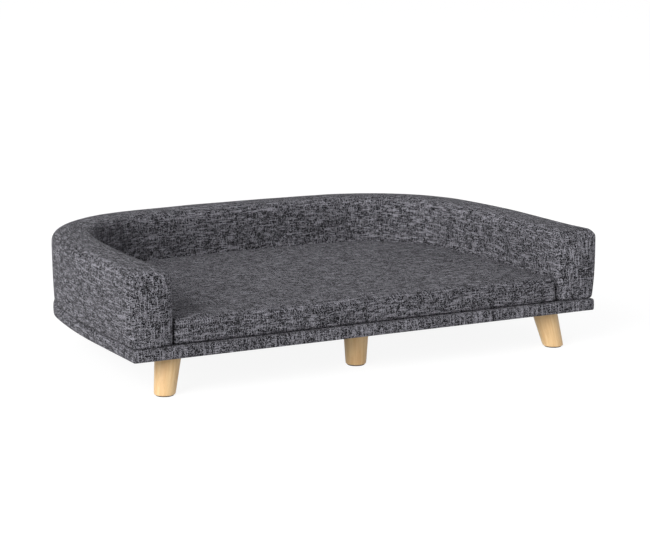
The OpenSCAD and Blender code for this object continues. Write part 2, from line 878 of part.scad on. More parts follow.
// Slider with no pull tab: two plates joined by a post that runs in the slit
module zip_slider() {
    outer_r = coil_in_r + coil_t + slider_gap;
    inner_r = tape_out_r - tape_t - slider_gap;
    flange_h = coil_t - slider_gap;
    post_t = zip_slit - 2 * post_gap;
    color(STEEL)
        translate([back_c.x, back_c.y, cushion_mid_z])
            rotate([0, 0, slider_rest_a])
                translate([0, -slider_l / 2, 0]) {
                    translate([outer_r, 0, -slider_w / 2])
                        cube([slider_plate_t, slider_l, slider_w]);
                    translate([inner_r - slider_plate_t, 0, -slider_w / 2])
                        cube([slider_plate_t, slider_l, slider_w]);
                    translate([inner_r - slider_plate_t, 0, -post_t / 2])
                        cube([outer_r - inner_r + 2 * slider_plate_t, post_l, post_t]);
                    for (z = [-slider_w / 2, slider_w / 2 - slider_flange_t])
                        translate([outer_r - flange_h, 0, z])
                            cube([flange_h + slider_plate_t, slider_l, slider_flange_t]);
                }
}

base_board();
base_wadding();
base_cover();
dust_cover();
cover_staples();
dust_cover_staples();
tee_nuts();
leg_studs();
leg(FRONT_LEFT);  // leg_front_left
leg(FRONT_MIDDLE);  // leg_front_middle
leg(FRONT_RIGHT);  // leg_front_right
leg(REAR_LEFT);  // leg_rear_left
leg(REAR_MIDDLE);  // leg_rear_middle
leg(REAR_RIGHT);  // leg_rear_right
leg_glides();
rim_bottom_rail();
rim_top_rail();
rim_uprights();
rim_outer_facing();
rim_inner_facing();
rim_foam();
rim_cover();
rim_cover_staples();
rim_screws();
rail_screws();
cushion_foam();
cushion_cover();
zip_tape();
zip_coil();
zip_stops();
zip_slider();
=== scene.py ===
"""Raised dog sofa bed: its visible pieces and finishes, the studio and the camera.

Metres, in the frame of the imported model: +X to the right seen from the front, +Y to the
back, +Z up, with the floor at z 0 and the origin under the middle of the base.
"""
import math
from math import cos, pi, radians, sin

import bmesh
import bpy
import numpy as np
from mathutils import Matrix, Vector, noise
from mathutils.bvhtree import BVHTree


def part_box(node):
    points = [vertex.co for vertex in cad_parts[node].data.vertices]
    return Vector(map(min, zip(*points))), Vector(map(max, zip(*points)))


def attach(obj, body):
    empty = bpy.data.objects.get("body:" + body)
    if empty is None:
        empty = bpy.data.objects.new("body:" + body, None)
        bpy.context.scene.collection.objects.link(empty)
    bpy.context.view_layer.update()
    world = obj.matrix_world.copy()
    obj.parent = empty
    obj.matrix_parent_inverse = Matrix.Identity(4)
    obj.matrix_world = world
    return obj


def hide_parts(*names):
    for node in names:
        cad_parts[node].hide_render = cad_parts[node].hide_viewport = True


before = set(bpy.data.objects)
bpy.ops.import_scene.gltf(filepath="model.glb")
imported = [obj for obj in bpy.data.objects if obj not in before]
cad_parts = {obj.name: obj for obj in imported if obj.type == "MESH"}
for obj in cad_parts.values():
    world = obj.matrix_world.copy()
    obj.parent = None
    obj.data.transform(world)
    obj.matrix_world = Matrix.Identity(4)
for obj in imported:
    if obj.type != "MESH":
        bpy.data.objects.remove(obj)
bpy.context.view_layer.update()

MM = 0.001

# The plan of the base, as in the part's source
BASE_LOW, BASE_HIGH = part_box("base_cover")
WIDTH = BASE_HIGH[0] - BASE_LOW[0]
DEPTH = BASE_HIGH[1] - BASE_LOW[1]
FRONT_Y = BASE_LOW[1]
CORNER_R = 0.278
BACK_R = 2.57
SIDE_R = 1.655
SIDE_SWEEP = radians(8.6)
BASE_CORNER_R = 0.004

BACK_C = (0.0, DEPTH / 2 - BACK_R)
CORNER_X = -WIDTH / 2 + SIDE_R - (SIDE_R - CORNER_R) * cos(SIDE_SWEEP)
CORNER_C = (CORNER_X, BACK_C[1] + math.sqrt((BACK_R - CORNER_R) ** 2 - CORNER_X ** 2))
SIDE_C = (-WIDTH / 2 + SIDE_R, CORNER_C[1] - (SIDE_R - CORNER_R) * sin(SIDE_SWEEP))
SIDE_END = pi - SIDE_SWEEP
BACK_END = math.atan2(CORNER_C[1] - BACK_C[1], CORNER_C[0] - BACK_C[0])

# Heights and insets of the main pieces
BASE_Z0, BASE_Z1 = BASE_LOW[2], BASE_HIGH[2]
RIM_Z1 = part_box("rim_cover")[1][2]
RIM_OUT, RIM_IN = 2 * MM, 83 * MM
RIM_TOP_R = 17 * MM
CUSHION_LOW, CUSHION_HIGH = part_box("cushion_cover")
CUSHION_IN = 84.5 * MM
CUSHION_FRONT = CUSHION_LOW[1] - FRONT_Y
CUSHION_Z0 = CUSHION_LOW[2]
CUSHION_EDGE_Z = CUSHION_HIGH[2] - 3 * MM
ZIP_Z = (CUSHION_Z0 + CUSHION_EDGE_Z) / 2
ZIP_HALF = 0.2 / BACK_R
ZIP_R = 2476.5 * MM
SIDE_DRAW, ZIP_DRAW = 1.2 * MM, 4.5 * MM
FABRIC_T = 1.5 * MM
SINK = 0.2 * MM


# shapes

def sweep(centre, radius, start, end, steps):
    """Points along an arc, both ends included."""
    angles = np.linspace(start, end, steps + 1)
    return np.c_[centre[0] + radius * np.cos(angles), centre[1] + radius * np.sin(angles)]


def arc(u, z, radius, degrees):
    """(Inset, z) places on a circle about one place, at these angles."""
    return [(u + radius * cos(radians(a)), z + radius * sin(radians(a))) for a in degrees]


def joined(*runs):
    """Runs of points end to end, where each starts on the last point of the one before."""
    return np.vstack([runs[0]] + [run[1:] for run in runs[1:]])


def smoothed(share):
    """A share from 0 to 1 with an even start and end."""
    return share * share * (3 - 2 * share)


def eased(share):
    """A share from 0 to 1 that rises quickly and ends evenly."""
    return np.sin(pi / 2 * np.clip(share, 0, 1))


# Steps along half the front, a front corner, a straight side, a side arc, a back corner and
# half the back. Front and back halves have equal sums, so a grid fits between them.
STEPS = (40, 4, 16, 24, 30, 27)
ZIP_STEPS = 23
# Where the recess for the zip begins to fade in, as a share of a back corner
DRAW_FROM = 0.6
HALF_RING = sum(STEPS)
FRONT_TURN = STEPS[0] + STEPS[1] // 2
BACK_TURN = sum(STEPS[:4]) + STEPS[4] // 2


def ring(inset, front_in, front_r, z, draw=0.0):
    """Closed ring of the plan, `inset` inside the base's edge, from the middle of the front
    to the right and round. `draw` pulls the back in further, as far as round the corners."""
    n_front, n_corner, n_side, n_arc, n_turn, n_back = STEPS
    edge_x, edge_y = -WIDTH / 2 + inset, FRONT_Y + front_in
    front = np.c_[np.linspace(0, edge_x + front_r, n_front + 1), np.full(n_front + 1, edge_y)]
    corner = sweep((edge_x + front_r, edge_y + front_r), front_r, 1.5 * pi, pi, n_corner)
    side = np.c_[np.full(n_side + 1, edge_x), np.linspace(edge_y + front_r, SIDE_C[1], n_side + 1)]
    side_arc = sweep(SIDE_C, SIDE_R - inset, pi, SIDE_END, n_arc)
    share = smoothed(np.clip((np.linspace(0, 1, n_turn + 1) - DRAW_FROM) / (1 - DRAW_FROM), 0, 1))
    angles = np.linspace(SIDE_END, BACK_END, n_turn + 1)
    reach = CORNER_R - inset - draw * share
    turn = np.c_[CORNER_C[0] + reach * np.cos(angles), CORNER_C[1] + reach * np.sin(angles)]
    zip_end = pi / 2 + ZIP_HALF
    back_r = BACK_R - inset - draw
    back = joined(sweep(BACK_C, back_r, BACK_END, zip_end, n_back - ZIP_STEPS),
                  sweep(BACK_C, back_r, zip_end, pi / 2, ZIP_STEPS))
    left = joined(front, corner, side, side_arc, turn, back)
    right = left * (-1, 1)
    flat = np.vstack([right[:-1], left[:0:-1]])
    return np.c_[flat, np.full(len(flat), z)]


def filling(edge, height=None):
    """Grid across the plan from one closed ring. `height` gives how far each point rises by
    its distance in from the ring."""
    total = len(edge)
    turns = (total - FRONT_TURN, FRONT_TURN, BACK_TURN, total - BACK_TURN)
    low = edge[np.arange(turns[0], total + turns[1] + 1) % total]
    right = edge[turns[1]:turns[2] + 1]
    high = edge[turns[2]:turns[3] + 1][::-1]
    left = edge[turns[3]:turns[0] + 1][::-1]
    s = np.linspace(0, 1, len(low))[None, :, None]
    t = np.linspace(0, 1, len(left))[:, None, None]
    grid = ((1 - t) * low[None] + t * high[None] + (1 - s) * left[:, None] + s * right[:, None]
            - (1 - s) * (1 - t) * low[0] - s * (1 - t) * low[-1]
            - (1 - s) * t * high[0] - s * t * high[-1])
    if height:
        inner = grid[1:-1, 1:-1]
        gap = np.linalg.norm(inner[:, :, None, :2] - edge[None, None, ::3, :2], axis=3).min(axis=2)
        inner[..., 2] += height(gap)
    return grid


def placed(name, data):
    """A new object in the scene for a mesh, a lamp or a camera."""
    item = bpy.data.objects.new(name, data)
    bpy.context.collection.objects.link(item)
    return item


def mesh_piece(name, built):
    """An object of the mesh that was being built."""
    mesh = bpy.data.meshes.new(name)
    built.to_mesh(mesh)
    built.free()
    return placed(name, mesh)


def discard(item):
    mesh = item.data
    bpy.data.objects.remove(item)
    bpy.data.meshes.remove(mesh)


def joined_pieces(name, items):
    """Several objects as one."""
    whole = bmesh.new()
    for item in items:
        whole.from_mesh(item.data)
        discard(item)
    return mesh_piece(name, whole)


def baked(item, name):
    """A plain mesh object of the item as it shows, in its place."""
    graph = bpy.context.evaluated_depsgraph_get()
    mesh = bpy.data.meshes.new_from_object(item.evaluated_get(graph), depsgraph=graph)
    discard(item)
    mesh.name = name
    return placed(name, mesh)


# Points that round to one place on this grid are one point
WELD_GRID = 0.02 * MM


class Skin:
    """A mesh put together from patches of cloth or of a hard face. Each corner carries its
    place on the cloth in metres, for the weave."""

    def __init__(self):
        self.points, self.faces, self.weave, self.holds = [], [], [], []
        self.count = 0

    def patch(self, points, weave, hold=None):
        """Adds a grid of points, rows by columns, with the weave's place of each point and
        how firmly it is held while the cloth is puffed out."""
        rows, columns = points.shape[:2]
        index = self.count + np.arange(rows * columns).reshape(rows, columns)
        corners = np.stack([index[:-1, :-1], index[:-1, 1:], index[1:, 1:], index[1:, :-1]], 2)
        self.points.append(points.reshape(-1, 3))
        self.weave.append(weave.reshape(-1, 2))
        self.holds.append(np.zeros(rows * columns) if hold is None else hold.ravel())
        self.faces.append(corners.reshape(-1, 4))
        self.count += rows * columns

    def build(self, name, smooth=True):
        """The patches welded into one object with its faces turned outward."""
        points, weave = np.vstack(self.points), np.vstack(self.weave)
        holds, faces = np.concatenate(self.holds), np.vstack(self.faces)
        keys = np.round(points / WELD_GRID).astype(np.int64)
        _, first, place = np.unique(keys, axis=0, return_index=True, return_inverse=True)
        place = place.ravel()
        held = np.zeros(len(first))
        np.maximum.at(held, place, holds)
        kept, corners = [], []
        for face in faces:
            row, source = [], []
            for corner in face:
                if place[corner] not in row:
                    row.append(int(place[corner]))
                    source.append(corner)
            if len(row) > 2:
                kept.append(row)
                corners += source
        mesh = bpy.data.meshes.new(name)
        mesh.from_pydata(points[first].tolist(), [], kept)
        layer = mesh.uv_layers.new(name="weave")
        layer.data.foreach_set("uv", weave[corners].astype(np.float32).ravel())
        turned = bmesh.new()
        turned.from_mesh(mesh)
        bmesh.ops.recalc_face_normals(turned, faces=turned.faces)
        turned.to_mesh(mesh)
        turned.free()
        mesh.polygons.foreach_set("use_smooth", [smooth] * len(mesh.polygons))
        return placed(name, mesh), held


def flat_weave(points, along="x"):
    """The weave laid flat in plan, with its long threads along x or along y."""
    xy = points[..., :2]
    return xy.copy() if along == "x" else xy[..., ::-1].copy()


def spread(along, across):
    """Places on the cloth from the distances along it and across it."""
    return np.stack(np.broadcast_arrays(along, across), axis=2)


def run_lengths(line):
    """Distance along a line of points, from its start."""
    return np.r_[0, np.cumsum(np.linalg.norm(np.diff(line, axis=0), axis=1))]


def wrapped(rings):
    """Rings with their first column repeated at the end, so that the last face closes."""
    return np.concatenate([rings, rings[:, :1]], axis=1)


def coordinates(mesh):
    """The mesh's points, one a row."""
    flat = np.zeros(len(mesh.vertices) * 3)
    mesh.vertices.foreach_get("co", flat)
    return flat.reshape(-1, 3)


def normals_of(mesh):
    return np.array([vertex.normal for vertex in mesh.vertices])


def move_points(mesh, points):
    mesh.vertices.foreach_set("co", points.ravel())
    mesh.update()


# Pressure in the cloth, and the frames it is simulated for
PRESSURE, FRAMES = 0.6, 10


def puffed(item, held, cap):
    """Puffs the cloth out from its held lines by a cloth simulation and writes the result to
    the mesh. The padding lets it swell as far as its cap, but hardly sink."""
    scene = bpy.context.scene
    rest = coordinates(item.data)
    trial = item.copy()
    trial.data = item.data.copy()
    bpy.context.collection.objects.link(trial)
    group = trial.vertex_groups.new(name="held")
    for index in np.nonzero(held > 0)[0]:
        group.add([int(index)], float(held[index]), "REPLACE")
    cloth = trial.modifiers.new("puff", "CLOTH")
    settings = cloth.settings
    settings.quality = 6
    settings.mass = 0.3
    settings.tension_stiffness = settings.compression_stiffness = 60
    settings.shear_stiffness = 30
    settings.bending_stiffness = 2
    settings.use_pressure = True
    settings.uniform_pressure_force = PRESSURE
    settings.effector_weights.gravity = 0
    settings.vertex_group_mass = "held"
    cloth.point_cache.frame_start, cloth.point_cache.frame_end = 1, FRAMES
    for frame_number in range(1, FRAMES + 1):
        scene.frame_set(frame_number)
    shown = trial.evaluated_get(bpy.context.evaluated_depsgraph_get())
    moved = coordinates(shown.data) - rest
    scene.frame_set(1)
    discard(trial)
    normals = normals_of(item.data)
    out = (moved * normals).sum(axis=1)
    reach = np.where(out > 0, cap, SINK)
    out = reach * np.tanh(out / reach)
    move_points(item.data, rest + normals * out[:, None])


def rippled(item, amount, size, free):
    """Moves the surface in and out along its normals by a smooth, uneven amount, where it is
    free to."""
    points = coordinates(item.data)
    waves = np.array([noise.noise(Vector(p / size)) + 0.4 * noise.noise(Vector(p / size * 2.7))
                      for p in points])
    move_points(item.data, points + normals_of(item.data) * (waves * free)[:, None] * amount)


def finish_with(item, thickness, levels=0):
    """Rounds a cloth, then gives it its thickness on the inner side."""
    if levels:
        smooth = item.modifiers.new("rounding", "SUBSURF")
        smooth.levels = smooth.render_levels = levels
        smooth.uv_smooth = "PRESERVE_BOUNDARIES"
    wall = item.modifiers.new("thickness", "SOLIDIFY")
    wall.thickness = thickness
    wall.offset = -1
    wall.use_rim = True


# finishes

def maths(operation, swapped=False):
    """A method of Value that adds one Math node. Swapped puts the other number first."""
    def method(self, *others):
        sockets = [*others, self] if swapped else [self, *others]
        return self.finish.node("Math", {"operation": operation}, dict(enumerate(sockets)))
    return method


class Value:
    """A socket of a material, with arithmetic that adds Math nodes."""

    __add__ = __radd__ = maths("ADD")
    __sub__ = maths("SUBTRACT")
    __rsub__ = maths("SUBTRACT", swapped=True)
    __mul__ = __rmul__ = maths("MULTIPLY")
    __truediv__ = maths("DIVIDE")
    __rtruediv__ = maths("DIVIDE", swapped=True)
    floor = maths("FLOOR")
    fraction = maths("FRACT")
    sine = maths("SINE")
    most = maths("MAXIMUM")

    def __init__(self, finish, socket):
        self.finish = finish
        self.socket = socket

    def step(self, low, high):
        """Rises smoothly from 0 at low to 1 at high."""
        return self.finish.node("MapRange", {"interpolation_type": "SMOOTHSTEP"},
                                {"Value": self, "From Min": low, "From Max": high})


class Finish:
    """One material, built node by node."""

    def __init__(self, name, tree=None):
        if tree is None:
            self.material = bpy.data.materials.new(name)
            self.material.use_nodes = True
            tree = self.material.node_tree
        self.tree = tree
        tree.nodes.clear()

    def node(self, kind, settings=None, values=None, out=0):
        """Adds a node: its settings first, then the values or links of its sockets."""
        made = self.tree.nodes.new("ShaderNode" + kind)
        for key, value in (settings or {}).items():
            if key == "ramp":
                stops = made.color_ramp.elements
                while len(stops) < len(value):
                    stops.new(0.5)
                for stop, (place, colour) in zip(stops, value):
                    stop.position, stop.color = place, (*colour, 1)
            else:
                setattr(made, key, value)
        for key, value in (values or {}).items():
            socket = made.inputs[key]
            if isinstance(value, Value):
                self.tree.links.new(value.socket, socket)
            elif isinstance(value, tuple) and len(value) == 3 and socket.type == "RGBA":
                socket.default_value = (*value, 1)
            else:
                socket.default_value = value
        return Value(self, made.outputs[out])

    def vector(self, x, y=0.0, z=0.0):
        return self.node("CombineXYZ", values={0: x, 1: y, 2: z})

    def parts(self, vector):
        return [self.node("SeparateXYZ", values={0: vector}, out=k) for k in range(3)]

    def noise(self, vector, scale, detail):
        values = {"Vector": vector, "Scale": scale, "Detail": detail}
        return self.node("TexNoise", values=values)

    def flat_noise(self, x, y, detail):
        values = {"Vector": self.vector(x, y), "Scale": 1, "Detail": detail}
        return self.node("TexNoise", {"noise_dimensions": "2D"}, values)

    def scatter(self, x, y):
        """An even random number for each whole step of x and y."""
        return self.node("TexWhiteNoise", {"noise_dimensions": "2D"}, {"Vector": self.vector(x, y)})

    def mix(self, share, first, second):
        return self.node("Mix", {"data_type": "RGBA"}, {0: share, 6: first, 7: second}, out=2)

    def ramp(self, value, *stops):
        return self.node("ValToRGB", {"ramp": stops}, {0: value})

    def bump(self, height, distance, strength):
        values = {"Height": height, "Distance": distance, "Strength": strength}
        return self.node("Bump", values=values)

    def surface(self, colour, roughness, bump, **others):
        """Closes the material with its shader and returns it."""
        values = {"Base Color": colour, "Roughness": roughness, "Normal": bump}
        values.update({key.replace("_", " "): value for key, value in others.items()})
        self.node_output(self.node("BsdfPrincipled", values=values))
        return self.material

    def node_output(self, shader, kind="OutputMaterial"):
        made = self.tree.nodes.new("ShaderNode" + kind)
        self.tree.links.new(shader.socket, made.inputs["Surface"])

    def place(self):
        return self.node("TexCoord", out=3)


# Distance between the threads, how far they wander, and the lengths over which they change tone
THREAD_PITCH, THREAD_DRIFT = 1.2 * MM, 0.5 * MM
WEFT_SLUB, WARP_SLUB = 8 * MM, 4 * MM
LONG_WEFT_SLUB, LONG_WARP_SLUB = 24 * MM, 15 * MM
STREAK_LENGTH, STREAK_WIDTH = 26 * MM, 1.7 * MM
FIBRE_LENGTH, FIBRE_WIDTH = 0.30 * MM, 0.22 * MM
WEAVE_RELIEF = 0.4 * MM
PATCH_SCALE = 14


def linen(name, dark, middle, light):
    """Charcoal linen-look cloth: a plain weave of dark and light yarns, with thin slubs and painted shade
    in the gaps between the yarns.
    """
    f = Finish(name)
    u, v, _ = f.parts(f.node("UVMap", {"uv_map": "weave"}))
    drift_u = f.flat_noise(u * PATCH_SCALE, v * PATCH_SCALE, 1) - 0.5
    u = u + drift_u * THREAD_DRIFT
    drift_v = f.flat_noise(v * PATCH_SCALE + 7, u * PATCH_SCALE, 1) - 0.5
    v = v + drift_v * THREAD_DRIFT
    across, along = v / THREAD_PITCH, u / THREAD_PITCH
    row, column = across.floor(), along.floor()
    # Over and under: where the long threads rise, the cross threads dip
    weft_rise = ((along + row) * pi).sine()
    warp_rise = ((across + column) * pi).sine()
    weft_high = (across.fraction() * pi).sine() * (0.62 + weft_rise * 0.38)
    warp_high = (along.fraction() * pi).sine() * (0.62 - warp_rise * 0.38)
    on_top = (weft_high - warp_high).step(-0.12, 0.12)
    height = weft_high.most(warp_high)
    # Each yarn changes its tone along its length, in slubs, and from one stitch to the next
    weft = f.flat_noise(u / WEFT_SLUB, row * 3.71, 2)
    warp = f.flat_noise(v / WARP_SLUB, column * 4.37 + 90, 2)
    pair = (row * 0.5).floor()
    long_weft = f.flat_noise(u / LONG_WEFT_SLUB, pair * 5.13 + 40, 0)
    long_warp = f.flat_noise(v / LONG_WARP_SLUB, column * 6.29 + 17, 0)
    weft_stitch = f.scatter(row, ((along + row) * 0.5).floor()) - 0.5
    warp_stitch = f.scatter(column + 0.5, ((across + column + 1) * 0.5).floor()) - 0.5
    weft = (weft - 0.5) * 1.2 + (long_weft - 0.53).most(0.0) * 3.2 + weft_stitch * 0.8
    warp = (warp - 0.5) * 0.9 + (long_warp - 0.53).most(0.0) * 2.4 + warp_stitch * 0.8
    patches = f.flat_noise(u * PATCH_SCALE, v * PATCH_SCALE, 2) - 0.5
    streaks = f.flat_noise(u / STREAK_LENGTH, v / STREAK_WIDTH, 1) - 0.5
    fibres = f.flat_noise(u / FIBRE_LENGTH, v / FIBRE_WIDTH, 1) - 0.5
    tone = warp + (weft - warp) * on_top + 0.5 + patches * 0.07 + streaks * 0.35 + fibres * 0.2
    colour = f.ramp(tone, (0.30, dark), (0.58, middle), (0.98, light))
    # Painted shade: the gaps where the yarns dip are drawn darker than the yarns.
    painted_gap_shade = tuple(0.4 * share for share in dark)
    colour = f.mix(height.step(0.05, 0.5), painted_gap_shade, colour)
    return f.surface(colour, 0.95 - (tone - 0.5) * 0.1,
                     f.bump(height + fibres * 0.2, WEAVE_RELIEF, 0.6),
                     Sheen_Weight=0.02, Sheen_Roughness=0.5, Specular_IOR_Level=0.12)


def turned_wood(name, pale, deep):
    """Pale close-grained wood under a satin lacquer, its grain along the piece."""
    f = Finish(name)
    x, y, z = f.parts(f.node("Attribute", {"attribute_name": "grain"}, out=1))
    bend = (f.noise(f.vector(x, y, z), 14, 2) - 0.5) * (9 * MM)
    growth = f.noise(f.vector((x + bend) * 210, (y + bend) * 120, z * 9), 1, 2)
    pores = f.noise(f.vector(x * 1500, y * 1500, z * 42), 1, 1)
    clouds = f.noise(f.vector(x * 40, y * 40, z * 14), 1, 1)
    tone = growth * 0.6 + clouds * 0.4
    colour = f.mix(tone.step(0.34, 0.68), pale, deep)
    colour = f.mix(pores.step(0.56, 0.75) * 0.28, colour, tuple(0.55 * c for c in deep))
    return f.surface(colour, 0.44 + pores * 0.12, f.bump(pores + growth, 0.05 * MM, 0.5),
                     Coat_Weight=0.15, Coat_Roughness=0.3, Specular_IOR_Level=0.4)


def layered_board(name, pale, deep, veneer):
    """Sheet material with plies of one thickness, seen on its edges, and a grained face."""
    f = Finish(name)
    x, y, z = f.parts(f.place())
    grain = f.noise(f.vector(x * 9, y * 160, z * 160), 1, 3)
    ply = ((z / veneer).floor() * 0.5).fraction() * 2
    tone = (grain - 0.5) * 0.9 + 0.35 + ply * 0.25
    colour = f.mix(tone.step(0.1, 0.9), pale, deep)
    return f.surface(colour, 0.62 + grain * 0.15, f.bump(grain, 0.12 * MM, 0.6),
                     Specular_IOR_Level=0.3)


def grained(name, pale, deep, stretch, bump_mm, roughness, metallic=0.0):
    """A finish of one kind with an uneven tone, stretched along some axes."""
    f = Finish(name)
    x, y, z = f.parts(f.place())
    mottle = f.noise(f.vector(x * stretch[0], y * stretch[1], z * stretch[2]), 1, 3)
    fine = f.noise(f.place(), 2600, 1)
    colour = f.mix(mottle.step(0.3, 0.72), pale, deep)
    return f.surface(colour, roughness + (mottle - 0.5) * 0.25,
                     f.bump(mottle * 0.6 + fine * 0.4, bump_mm * MM, 0.7), Metallic=metallic)


def cellular(name, pale, deep, cell, bump_mm):
    """Open-celled foam or fluffed fibre: pits between raised walls."""
    f = Finish(name)
    cells = f.node("TexVoronoi", values={"Vector": f.place(), "Scale": 1 / cell}, out=0)
    clouds = f.noise(f.place(), 18, 3)
    # Painted shade: the pits are drawn darker than the cell walls, under a random cloudy tone.
    colour = f.mix((cells * 0.8 + clouds * 0.5).step(0.2, 0.95), deep, pale)
    return f.surface(colour, 0.92 + (clouds - 0.5) * 0.1, f.bump(cells, bump_mm * MM, 0.8),
                     Specular_IOR_Level=0.2)


def ribbed_cloth(name, pale, deep, pitch, bump_mm):
    """Close woven or felted cloth with a fine regular rib across the weave."""
    f = Finish(name)
    u, v, _ = f.parts(f.node("UVMap", {"uv_map": "weave"}))
    rib = ((u + v) / pitch * pi).sine() * ((u - v) / pitch * pi).sine()
    fuzz = f.noise(f.place(), 900, 2)
    # Painted shade: the rib's low places are drawn a little darker, under a random fuzz tone.
    colour = f.mix((rib * 0.25 + fuzz).step(0.3, 0.9), deep, pale)
    return f.surface(colour, 0.88 + (fuzz - 0.5) * 0.15,
                     f.bump(rib * 0.5 + fuzz, bump_mm * MM, 0.8), Specular_IOR_Level=0.25)


CHARCOAL = linen("charcoal_linen", (0.0124, 0.0121, 0.0137), (0.0222, 0.0217, 0.0248),
                 (0.395, 0.386, 0.428))
# The cushion's cover is a copy of the same linen retoned as painted light on the seat: dark and middle
# tones a little lighter, light tones a little darker.
SEAT_LINEN_PAINTED_LIGHT = linen("charcoal_linen_cushion_painted_light", (0.0130, 0.0127, 0.0144),
                     (0.0232, 0.0226, 0.0258), (0.372, 0.363, 0.403))
LEG_WOOD = turned_wood("rubberwood_satin", (0.94, 0.667, 0.357), (0.815, 0.516, 0.243))
PLYWOOD = layered_board("plywood", (0.62, 0.45, 0.27), (0.44, 0.29, 0.16), 1.5 * MM)
PINE = grained("sawn_pine", (0.72, 0.53, 0.31), (0.52, 0.34, 0.17), (30, 30, 300), 0.2, 0.7)
HARDBOARD = grained("hardboard", (0.22, 0.13, 0.07), (0.14, 0.08, 0.04), (240, 240, 240), 0.15, 0.75)
FOAM = cellular("upholstery_foam", (0.80, 0.74, 0.52), (0.56, 0.48, 0.30), 1.4 * MM, 0.5)
WADDING = cellular("polyester_wadding", (0.83, 0.83, 0.82), (0.62, 0.62, 0.61), 3.2 * MM, 1.0)
FELT = grained("felt", (0.060, 0.056, 0.052), (0.028, 0.026, 0.024), (900, 900, 900), 0.35, 0.95)
DUST_CLOTH = ribbed_cloth("dust_cloth", (0.030, 0.030, 0.032), (0.012, 0.012, 0.013), 1.6 * MM, 0.12)
ZIP_CLOTH = ribbed_cloth("zip_tape_cloth", (0.050, 0.050, 0.054), (0.022, 0.022, 0.025), 0.7 * MM, 0.1)
ZINC = grained("zinc_plate", (0.66, 0.67, 0.69), (0.46, 0.47, 0.50), (420, 420, 420), 0.02, 0.36, 1.0)
GUNMETAL = grained("zip_metal", (0.20, 0.20, 0.21), (0.11, 0.11, 0.12), (700, 700, 700), 0.02, 0.34, 1.0)
NYLON = grained("zip_nylon", (0.040, 0.040, 0.044), (0.020, 0.020, 0.022), (900, 900, 900), 0.03, 0.42)
THREAD = grained("sewing_thread", (0.13, 0.13, 0.14), (0.06, 0.06, 0.066), (1500, 1500, 300), 0.05, 0.7)


def coated(mesh, material):
    mesh.materials.clear()
    mesh.materials.append(material)


def dressed(item, body, slot, material, *nodes):
    """Gives a finished piece its material, the body it rides on and the nodes it stands for."""
    coated(item.data, material)
    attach(item, body)
    if nodes:
        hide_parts(*nodes)


# base

# Roundings of the base's lower and upper edge, how full its edge is, and its hem underneath
BASE_LOW_ROUND, BASE_HIGH_ROUND, BASE_FULL = 1.6 * MM, 5 * MM, 0.5 * MM
BASE_HEM, BASE_FOLD = 45 * MM, 3 * MM
BASE_RIPPLE, BASE_RIPPLE_LENGTH = 0.25 * MM, 60 * MM
BOARD_TOP, BOARD_SIDE, BOARD_LOW = 90.3 * MM, 4.7 * MM, 75.8 * MM
WADDING_SIDE = 1.9 * MM
DUST_IN, DUST_Z, DUST_SAG, DUST_T = 9 * MM, 73.75 * MM, 0.35 * MM, 0.3 * MM
LEAST_CORNER_R, DUST_SLACK = 1.2 * MM, 50 * MM


def slab(name, profile):
    """Closed D-shaped layer: rings through a section's (inset, z) places, with a grid across
    the first and the last. The weave lies flat on the top and folds down the edge."""
    rings = np.array([ring(u, u, max(BASE_CORNER_R - u, LEAST_CORNER_R), z) for u, z in profile])
    total = wrapped(rings)
    edge = total[-1][:, :2]
    outward = np.gradient(edge, axis=0)
    outward = np.c_[outward[:, 1], -outward[:, 0]]
    outward /= np.maximum(np.linalg.norm(outward, axis=1), 1e-9)[:, None]
    down = run_lengths(np.array(profile)[::-1])[::-1]
    flat = edge + outward * down[:, None, None]
    skin = Skin()
    skin.patch(total, flat[..., ::-1])
    for grid in (filling(rings[0]), filling(rings[-1])):
        skin.patch(grid, flat_weave(grid, "y"))
    return skin.build(name)[0]


def rounded_edge(z0, z1, low_r, high_r, bulge):
    """Section of a soft edge from its underside up to its top, as (inset, z) places."""
    low = arc(low_r, z0 + low_r, low_r, (270, 240, 210, 180))
    high = arc(high_r, z1 - high_r, high_r, (180, 150, 120, 90))
    return low + [(-bulge, (z0 + low_r + z1 - high_r) / 2)] + high


def base_pieces():
    top = BASE_Z1 - 0.1 * MM
    outside = rounded_edge(BASE_Z0, top, BASE_LOW_ROUND, BASE_HIGH_ROUND, BASE_FULL)
    inside = [(9 * MM, top - FABRIC_T), (FABRIC_T, top - 7 * MM), (FABRIC_T, 79 * MM),
              (4 * MM, BASE_Z0 + FABRIC_T), (BASE_HEM, BASE_Z0 + FABRIC_T), (BASE_HEM, BASE_Z0)]
    cover = slab("base_cover_cloth", inside + outside)
    low = coordinates(cover.data)[:, 2] < BASE_Z0 + BASE_FOLD
    rippled(cover, BASE_RIPPLE, BASE_RIPPLE_LENGTH, np.where(low, 0.0, 1.0))
    dressed(cover, "base", "upholstery", CHARCOAL, "base_cover")

    # Over the board and down its edge
    section = [(BOARD_SIDE, BOARD_TOP + 0.1 * MM), (BOARD_SIDE, BOARD_LOW), (WADDING_SIDE, BOARD_LOW),
               (WADDING_SIDE, 90 * MM), (3.4 * MM, 93.6 * MM), (8 * MM, 95 * MM)]
    wadding = slab("base_wadding_layer", section)
    dressed(wadding, "base", "wadding", WADDING, "base_wadding")

    edge = ring(DUST_IN, DUST_IN, LEAST_CORNER_R, DUST_Z)
    cloth = Skin()
    grid = filling(edge, lambda gap: -DUST_SAG * (1 - np.exp(-gap / DUST_SLACK)))
    cloth.patch(grid, flat_weave(grid, "y"))
    dust, _ = cloth.build("dust_cover_cloth")
    if dust.data.polygons[0].normal.z > 0:
        dust.data.flip_normals()
    finish_with(dust, DUST_T)
    dressed(dust, "base", "dust_cloth", DUST_CLOTH, "dust_cover")


# legs

